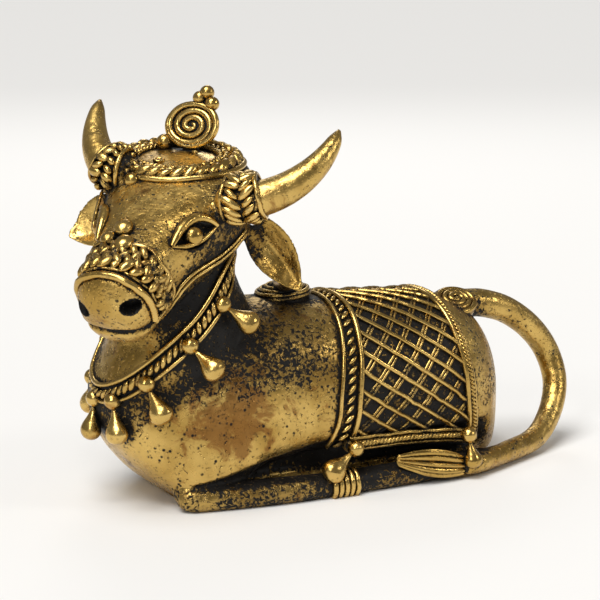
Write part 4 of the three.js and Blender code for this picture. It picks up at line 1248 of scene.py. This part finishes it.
crest_balls.append((crown_spot(np.radians(-19), 1.13, -0.8 * mm), head_h, head_n, 0.47 * ball_size))
grains("crest_balls", ball_grain, crest_balls)


# Horn sleeves
# A plaited sleeve round the root of each horn: two rows of leaves that meet in a herringbone,
# between a ring of wire at each end.
sleeve_forms = {1: (8.5 * mm, 11 * mm), -1: (6 * mm, 11.5 * mm)}
sleeve_rise = 1 * mm
sleeve_cores, sleeve_rings, sleeve_leaves = [], [], []
for side, (length, thickness) in sleeve_forms.items():
    line = horn_line(side, 200)
    run = np.concatenate([[0], np.cumsum(np.linalg.norm(np.diff(line, axis=0), axis=1))])
    radius = thickness / 2

    def sleeve_ring(far, size, count=48):
        """A ring round the horn at a distance from its root."""
        at = np.array([np.interp(far, run, line[:, k]) for k in range(3)]) - head_h * sleeve_rise
        way = unit([np.interp(far + 0.5 * mm, run, line[:, k]) - np.interp(far - 0.5 * mm, run, line[:, k])
                    for k in range(3)])
        first = unit(np.cross(head_n, way))
        second = np.cross(way, first)
        b = np.linspace(0, 2 * np.pi, count, endpoint=False)
        out = first * np.cos(b)[:, None] + second * np.sin(b)[:, None]
        return at + out * size, out
    inside = line[0] - head_l * side * 4 * mm - head_n * 5 * mm
    start = inside + (sleeve_ring(0, radius - 1.4 * mm)[0] - line[0])
    core = [start] + [sleeve_ring(far * length, radius - less)[0] for far, less in
                      ((0, 0.6 * mm), (0.5, 0.7 * mm), (0.97, 0.6 * mm), (1.0, 1.6 * mm))]
    sleeve_cores.append(loft(core))
    for far in (0.04, 0.96):
        sleeve_rings.append(laid(*sleeve_ring(far * length, radius - 0.3 * mm), 0.6 * mm, 0.3, loop=True))
    for far, slant in ((0.3, 1), (0.7, -1)):
        ring_points, out = sleeve_ring(far * length, radius - 0.5 * mm)
        sleeve_leaves += leaf_row(ring_points, out, 1.9 * mm, length * 0.54, 1.9 * mm, 2.1 * mm,
                                  math.radians(90 - 32 * slant), lift=0.25, loop=True, loose=2)
solid_piece("sleeve_cores", sleeve_cores, cast_brass)
wires("sleeve_rings", sleeve_rings)
grains("sleeve_leaves", leaf_grain, sleeve_leaves)


# The noseband and cheek straps
# A broad band of small leaves over the muzzle, between a thick lower wire and an upper one
# that dips to meet it on each cheek. A flower of three balls sits on top, and a strap runs
# from each cheek back to the ear.
upper_edge = [(0.63, 0), (0.62, 28), (0.655, 52), (0.66, 82), (0.675, 94), (0.74, 103), (0.82, 101), (0.875, 100)]
lower_edge = [(0.85, 0), (0.865, 36), (0.865, 82), (0.875, 100)]


def band_edge(rows):
    """Both halves of an edge over the nose, from its right end to its left one."""
    line = [(u, -math.radians(a), 0) for u, a in rows[:0:-1]] + [(u, math.radians(a), 0) for u, a in rows]
    u, a, _ = smooth_path(line, 140).T
    return u, a


def on_head(u, a, lift=0.0):
    return spot(head_at, head_middle, u, a, lift)


upper_u, upper_a = band_edge(upper_edge)
lower_u, lower_a = band_edge(lower_edge)
wires("noseband_wires", [
    laid(*on_head(lower_u, lower_a), 0.9 * mm, 0.45), laid(*on_head(lower_u - 0.042, lower_a * 0.97), 0.4 * mm, 0.7),
    laid(*on_head(upper_u, upper_a), 0.62 * mm, 1.3)])
nose_leaves = []
for share, slant in ((0.17, 60), (0.38, 118), (0.6, 60), (0.8, 118)):
    keep = slice(5, -5)
    row, out = on_head((lower_u - 0.05) * (1 - share) + upper_u * share, lower_a * (1 - share) + upper_a * share)
    nose_leaves += leaf_row(row[keep], out[keep], 2.5 * mm, 4.2 * mm, 2.2 * mm, 2.2 * mm, math.radians(slant),
                            lift=0.3, loose=2.2)
grains("noseband_leaves", leaf_grain, nose_leaves)
flower = []
for u, a0, size in ((0.505, -8, 5.3), (0.59, -21, 4.2), (0.63, 0, 5.4)):
    place, out = on_head(u, math.radians(a0), 0.8 * mm)
    flower.append((place, head_h, out, (size / 2 * mm, size / 2.3 * mm, size / 3 * mm)))
grains("flower", ball_grain, flower)
strap_line = [(0.86, 103, 0), (0.74, 113, 0), (0.66, 107, 0), (0.58, 98, 0), (0.45, 97, 0), (0.28, 102, 0), (0.1, 105, 0)]
straps = []
for side in (1, -1):
    u, a, _ = smooth_path([(u, math.radians(a), 0) for u, a, _ in strap_line], 80).T
    for across, radius in ((-0.7, 0.55), (0.7, 0.42)):
        straps.append(laid(*on_head(u, side * a), radius * mm, 0.6, across * mm))
u = np.linspace(0.14, 0.43, 30)
for a in (-63, -70):
    straps.append(laid(*on_head(u, np.full(30, math.radians(a)), 1.4 * mm), 0.45 * mm, 0, taper=True))
wires("cheek_straps", straps)


# The hump and the tail's coil
# The hump is a knob of coiled thread, and a short stalk joins it to the ear's tip. A flat coil
# lies on the root of the tail.
hump_width, stalk_thickness = 14 * mm, 4 * mm
hump_place, _ = spot(torso_at, torso_middle, 0.455, 0.0, 0.5 * mm)
hump_axis = unit(np.array((-0.1, 0, 1)))
hump_side = unit(np.cross(hump_axis, (0, 1, 0)))
hump_other = np.cross(hump_axis, hump_side)
left_root, left_tip = ears[1][:2]
touching = left_root + (left_tip - left_root) * 0.75 + np.array((1.2, 1.6, -1.4)) * mm


def hump_ring(radius, height):
    return (hump_place + (hump_side * np.cos(round_once)[:, None] + hump_other * np.sin(round_once)[:, None]) * radius
            + hump_axis * height)


stalk = smooth_path([hump_place + np.array((-1, 0, 2)) * mm, (hump_place + touching) / 2 + (0, 0, 0.6 * mm), touching], 14)
solid_piece("hump_core", [
    loft([hump_ring(r * hump_width / 2, h * mm) for r, h in
          ((0.98, -3), (0.95, 0.2), (0.8, 1.2), (0.6, 1.9), (0.35, 2.5), (0.05, 2.8))]),
    bar(stalk, np.full(14, stalk_thickness / 2), np.array((1.0, 0, 0)))], cast_brass)
wires("hump_coils", [laid(hump_ring(r * hump_width / 2, h * mm), unit(hump_ring(r * 3, 0) - hump_ring(0, -h * mm - r * mm)),
                          0.62 * mm, 0.0, loop=True)
                     for r, h in ((0.97, -0.1), (0.93, 0.8), (0.76, 1.5), (0.56, 2.1), (0.34, 2.6))])

coil_width = 13.6 * mm
coil_place = spot(torso_at, torso_middle, 0.877, math.radians(13))[0]
coil_out = unit(np.array((0, -0.55, 0.83)))
coil_low = unit(np.array((0, -0.83, -0.55)))
turn = np.linspace(0, 1, 140)
angle = 2 * np.pi * 3.6 * turn
radius = coil_width / 2 * (0.08 + 0.88 * turn)
tail_coil = (coil_place + np.multiply.outer(radius * np.cos(angle), (1.0, 0, 0))
             + np.multiply.outer(0.76 * radius * np.sin(angle), coil_low) + np.multiply.outer(1.5 * mm - 0.9 * mm * turn, coil_out))
wires("tail_coil", [laid(tail_coil, np.broadcast_to(coil_out, (140, 3)), 0.86 * mm, -0.3, wobble=0.03)])
plate = [(0.96, -3), (0.98, 0), (0.8, 0.8), (0.05, 1.3)]
solid_piece("tail_coil_plate", [loft([
    coil_place + np.multiply.outer(r * coil_width / 2 * np.cos(round_once), (1.0, 0, 0))
    + np.multiply.outer(0.76 * r * coil_width / 2 * np.sin(round_once), coil_low) + coil_out * h * mm for r, h in plate])],
    cast_brass)


# Anklets and the tail's tuft
# Five turns of wire round each hind foot, and a ridged leaf at the end of the tail.
first_anklet, turns, wire_width = 0.472, 5, 1.4 * mm
anklets = []
for side in (1, -1):
    for i in range(turns):
        share = first_anklet + anklet_pitch * i
        centre = np.array((body_x(share), -side * shank_spread * 1.1, 0.5 * shank_thickness - 0.3 * mm))
        around = stack(0 * round_once, np.cos(round_once), np.sin(round_once))
        ring = centre + around * (anklet_thickness - wire_width) / 2
        ring[:, 2] = np.maximum(ring[:, 2], 0.6 * mm)
        anklets.append(laid(ring, unit(ring - centre), 0.72 * mm, 0.0, loop=True))
anklet_wires = wires("anklets", anklets)
set_points(anklet_wires, on_the_table(get_points(anklet_wires)))

tuft_start = np.array((body_x(0.802), -1.22 * shank_spread, 0.075 * back_height))
tuft_end = tuft_start + np.array((-tuft_length, 0.4 * mm, 0.075 * back_height))
tuft_rings = []
ridges = 11
for t0 in np.linspace(0, 1, 60):
    leaf = 0.25 + 0.75 * math.sin(math.pi * (0.2 + 0.76 * t0))
    high = tuft_width / 2 * leaf * (1 if t0 < 0.96 else 1 - 0.7 * ((t0 - 0.96) / 0.04) ** 2)
    middle = tuft_start + (tuft_end - tuft_start) * t0
    middle = middle - np.array((0, 0.6 * mm * math.sin(math.pi * t0), 0))
    b = np.linspace(0, 2 * np.pi, 132, endpoint=False)
    r = high * (0.5 + 0.52 * np.abs(np.sin(ridges * b / 2)) ** 0.7)
    tuft_rings.append(middle + np.multiply.outer(r * np.sin(b), up) + np.multiply.outer(0.5 * r * np.cos(b), (0, 1.0, 0)))
solid_piece("tail_tuft", [loft(tuft_rings)], wire_brass)

for shape in (leaf_grain, ball_grain, drop_grain):
    bpy.data.objects.remove(shape)


# Where the black and the painted shade go
# Each point gets the share of its surroundings that closes it in, and is painted that much darker:
# partly the patina that stays in hollows, partly painted shade where closed-in places lie in shadow.
# Patina also stays on the patches that polishing missed.
closing_reach, ray_count = 9 * mm, 24
hollows_tree, given = geometry_tree("closed_in", [("Surroundings", "Object"), ("Reach", "Float")])
nearby = node(hollows_tree, "GeometryNodeObjectInfo", Object=given["Surroundings"]).outputs["Geometry"]
facing = node(hollows_tree, "GeometryNodeInputNormal").outputs[0]
here = node(hollows_tree, "GeometryNodeInputPosition").outputs[0]
lifted = hollows_tree.nodes.new("ShaderNodeVectorMath")
lifted.operation = "MULTIPLY_ADD"
link(hollows_tree, facing, lifted.inputs[0])
lifted.inputs[1].default_value = (0.12 * mm,) * 3
link(hollows_tree, here, lifted.inputs[2])
spin = node(hollows_tree, "FunctionNodeRandomValue", {"data_type": "FLOAT_VECTOR"}, Min=(-1, -1, -1), Max=(1, 1, 1))
stance = node(hollows_tree, "FunctionNodeAxesToRotation", {"primary_axis": "Z", "secondary_axis": "X"},
              Primary_Axis=facing, Secondary_Axis=spin.outputs[0]).outputs[0]
closed = None
for k in range(ray_count):
    lean = math.sqrt((k + 0.5) / ray_count)
    angle = math.pi * (3 - math.sqrt(5)) * k
    ray = node(hollows_tree, "FunctionNodeRotateVector", Rotation=stance,
               Vector=(lean * math.cos(angle), lean * math.sin(angle), math.sqrt(1 - lean**2))).outputs[0]
    cast_ray = node(hollows_tree, "GeometryNodeRaycast", Target_Geometry=nearby, Source_Position=lifted.outputs[0],
                    Ray_Direction=ray, Ray_Length=given["Reach"])
    nearness = math_node(hollows_tree, "SUBTRACT", 1.0, math_node(
        hollows_tree, "MULTIPLY", 0.7, math_node(hollows_tree, "DIVIDE", cast_ray.outputs["Hit Distance"], given["Reach"])))
    blocked = math_node(hollows_tree, "MULTIPLY", cast_ray.outputs["Is Hit"], nearness)
    closed = blocked if closed is None else math_node(hollows_tree, "ADD", closed, blocked)
share = math_node(hollows_tree, "DIVIDE", closed, ray_count)
# The closed-in share is stored as the level of patina and painted shade.
stored = node(hollows_tree, "GeometryNodeStoreNamedAttribute", Geometry=given["Geometry"], Name="grime", Value=share)
blurred = node(hollows_tree, "GeometryNodeBlurAttribute", Value=attribute(hollows_tree, "grime"), Iterations=3).outputs[0]
stored = node(hollows_tree, "GeometryNodeStoreNamedAttribute", Geometry=stored.outputs[0], Name="grime", Value=blurred)
link(hollows_tree, stored.outputs[0], hollows_tree.nodes.new("NodeGroupOutput").inputs[0])

all_points, all_faces, first = [], [], 0
for thing in pieces_made:
    all_points.append(get_points(thing))
    thing.data.calc_loop_triangles()
    triangles = np.empty(3 * len(thing.data.loop_triangles), np.int32)
    thing.data.loop_triangles.foreach_get("vertices", triangles)
    all_faces.append(triangles.reshape(-1, 3) + first)
    first += len(thing.data.vertices)
surroundings = to_object("surroundings", np.concatenate(all_points), np.concatenate(all_faces).tolist())
surroundings.hide_render = True

# Places that were rubbed bright or left black: a point, a radius, and how much is added.
patches = [
    ((-44, -15, 11), 18, -0.25), ((-20, -17, 13), 13, -0.25), ((66, -20, 20), 22, -0.2), ((-50, -10, 26), 12, -0.1),
    ((-24, -17, 42), 18, 0.3), ((-9, -18, 30), 16, 0.14), ((0, -17, 14), 12, 0.35), ((-33, -22, 58), 14, 0.45),
    ((-42, -24, 70), 10, 0.3), ((-58, -12, 40), 13, -0.8), ((-61, -2, 38), 13, -0.8)]
for thing in pieces_made:
    modifier = thing.modifiers.new("hollows", "NODES")
    modifier.node_group = hollows_tree
    modifier[socket_of(hollows_tree, "Surroundings")] = surroundings
    modifier[socket_of(hollows_tree, "Reach")] = closing_reach
    material = thing.data.materials[0]
    applied(thing)
    grime = np.empty(len(thing.data.vertices))
    thing.data.attributes["grime"].data.foreach_get("value", grime)
    grime = grime * 1.5 - (0.1 if thing in (body, head) else 0.22)
    if thing in (body, head):
        points = get_points(thing)
        for place, size, more in patches:
            far = np.linalg.norm(points + body_place - np.array(place) * mm, axis=1) / (size * mm)
            grime += more * np.clip(1.6 - 1.6 * far, 0, 1)
    if thing.name in ("cloth_ropes", "crown_rope"):
        grime -= 0.4
    if thing.name in ("hump_core", "hump_coils"):
        grime += 0.12
    if thing.name in ("noseband_leaves", "sleeve_leaves", "crown_leaves"):
        grime -= 0.16
    if thing is head:
        off = points - poll
        along, side, out = off @ head_h / head_length, np.abs(off @ head_l) / (head_width / 2), off @ head_n / head_depth
        under = np.degrees(np.arctan2(side * head_width / 2, (out + 0.15) * head_depth))
        on_face = np.clip((1.2 - side) / 0.15, 0, 1)
        cheek = np.clip((under - 62) / 24, 0, 1) * np.clip((0.74 - along) / 0.08, 0, 1)
        bridge = np.exp(-((along - 0.5) / 0.13) ** 2) * (out > 0)
        brow_side = np.exp(-((along - 0.18) / 0.13) ** 2 - ((off @ head_l / (head_width / 2) - 0.42) / 0.22) ** 2)
        # Cut-in places (eye sockets, nostrils, mouth line, ear folds) are painted dark: painted shade in the recesses,
        # with patina. Darker too on the lower cheeks, on the nose's bridge and beside the brow.
        grime += cut_in + on_face * (0.5 * cheek + 0.22 * bridge + 0.3 * brow_side) * (along < 0.84)
        grime -= 0.3 * (1 - on_face) * (out > -0.3)
        grime -= 0.5 * np.clip(2 - np.linalg.norm(points - crown_centre, axis=1) / (9 * mm), 0, 1)
        horns = (1 - on_face) * (out > -0.3)
        thing.data.attributes.new("rubbed", "FLOAT", "POINT").data.foreach_set("value", 0.85 * horns)
    if thing is body:
        x, y, z = (points / mm).T
        grime += 0.36 * np.clip((z - 20) / 14, 0, 1) * (x < 3) + 0.42 * np.clip((x - 38) / 5, 0, 1) * np.clip((z - 8) / 12, 0, 1) * np.clip((61 - x) / 9, 0, 1)
        # Painted shade, with patina, in the slot between flank and shank and on the shanks low down under the flank.
        grime += slot + 0.68 * (z < 6) * (np.abs(y) > 15) * (x < 35)
        far = np.linalg.norm(points + body_place - np.array((-36, -17, 25)) * mm, axis=1) / (17 * mm)
        stained = 0.23 * np.clip(1.6 - 1.5 * far, 0, 1)
        thing.data.attributes.new("stained", "FLOAT", "POINT").data.foreach_set("value", stained)
        # The body under the saddle cloth is painted dark: painted shade between the lattice's ribs, with patina.
        u = points[:, 0] / torso_length + 0.5
        a = np.arctan2(np.abs(points[:, 1]), points[:, 2] - 0.45 * back_height)
        back = (u - cloth_start) * torso_length - cloth_lean * np.cos(a)
        behind = cloth_length - (cloth_lean - cloth_rear_lean) * np.cos(a) - back
        grime += 0.6 * ((back > -0.5 * mm) & (behind > 0) & (points[:, 2] > 9 * mm))
        # Painted shade, with patina, on the neck and chest under the collar and its drops.
        near_collar = np.min(np.linalg.norm(points[:, None] - collar_points[None, ::10], axis=-1), axis=1)
        grime += 0.5 * np.clip(1.9 - near_collar / (9 * mm), 0, 1)
        grime += 0.16 * np.clip((x - 54) / 8, 0, 1)
    thing.data.attributes["grime"].data.foreach_set("value", np.clip(grime, 0, 1))
bpy.data.objects.remove(surroundings)
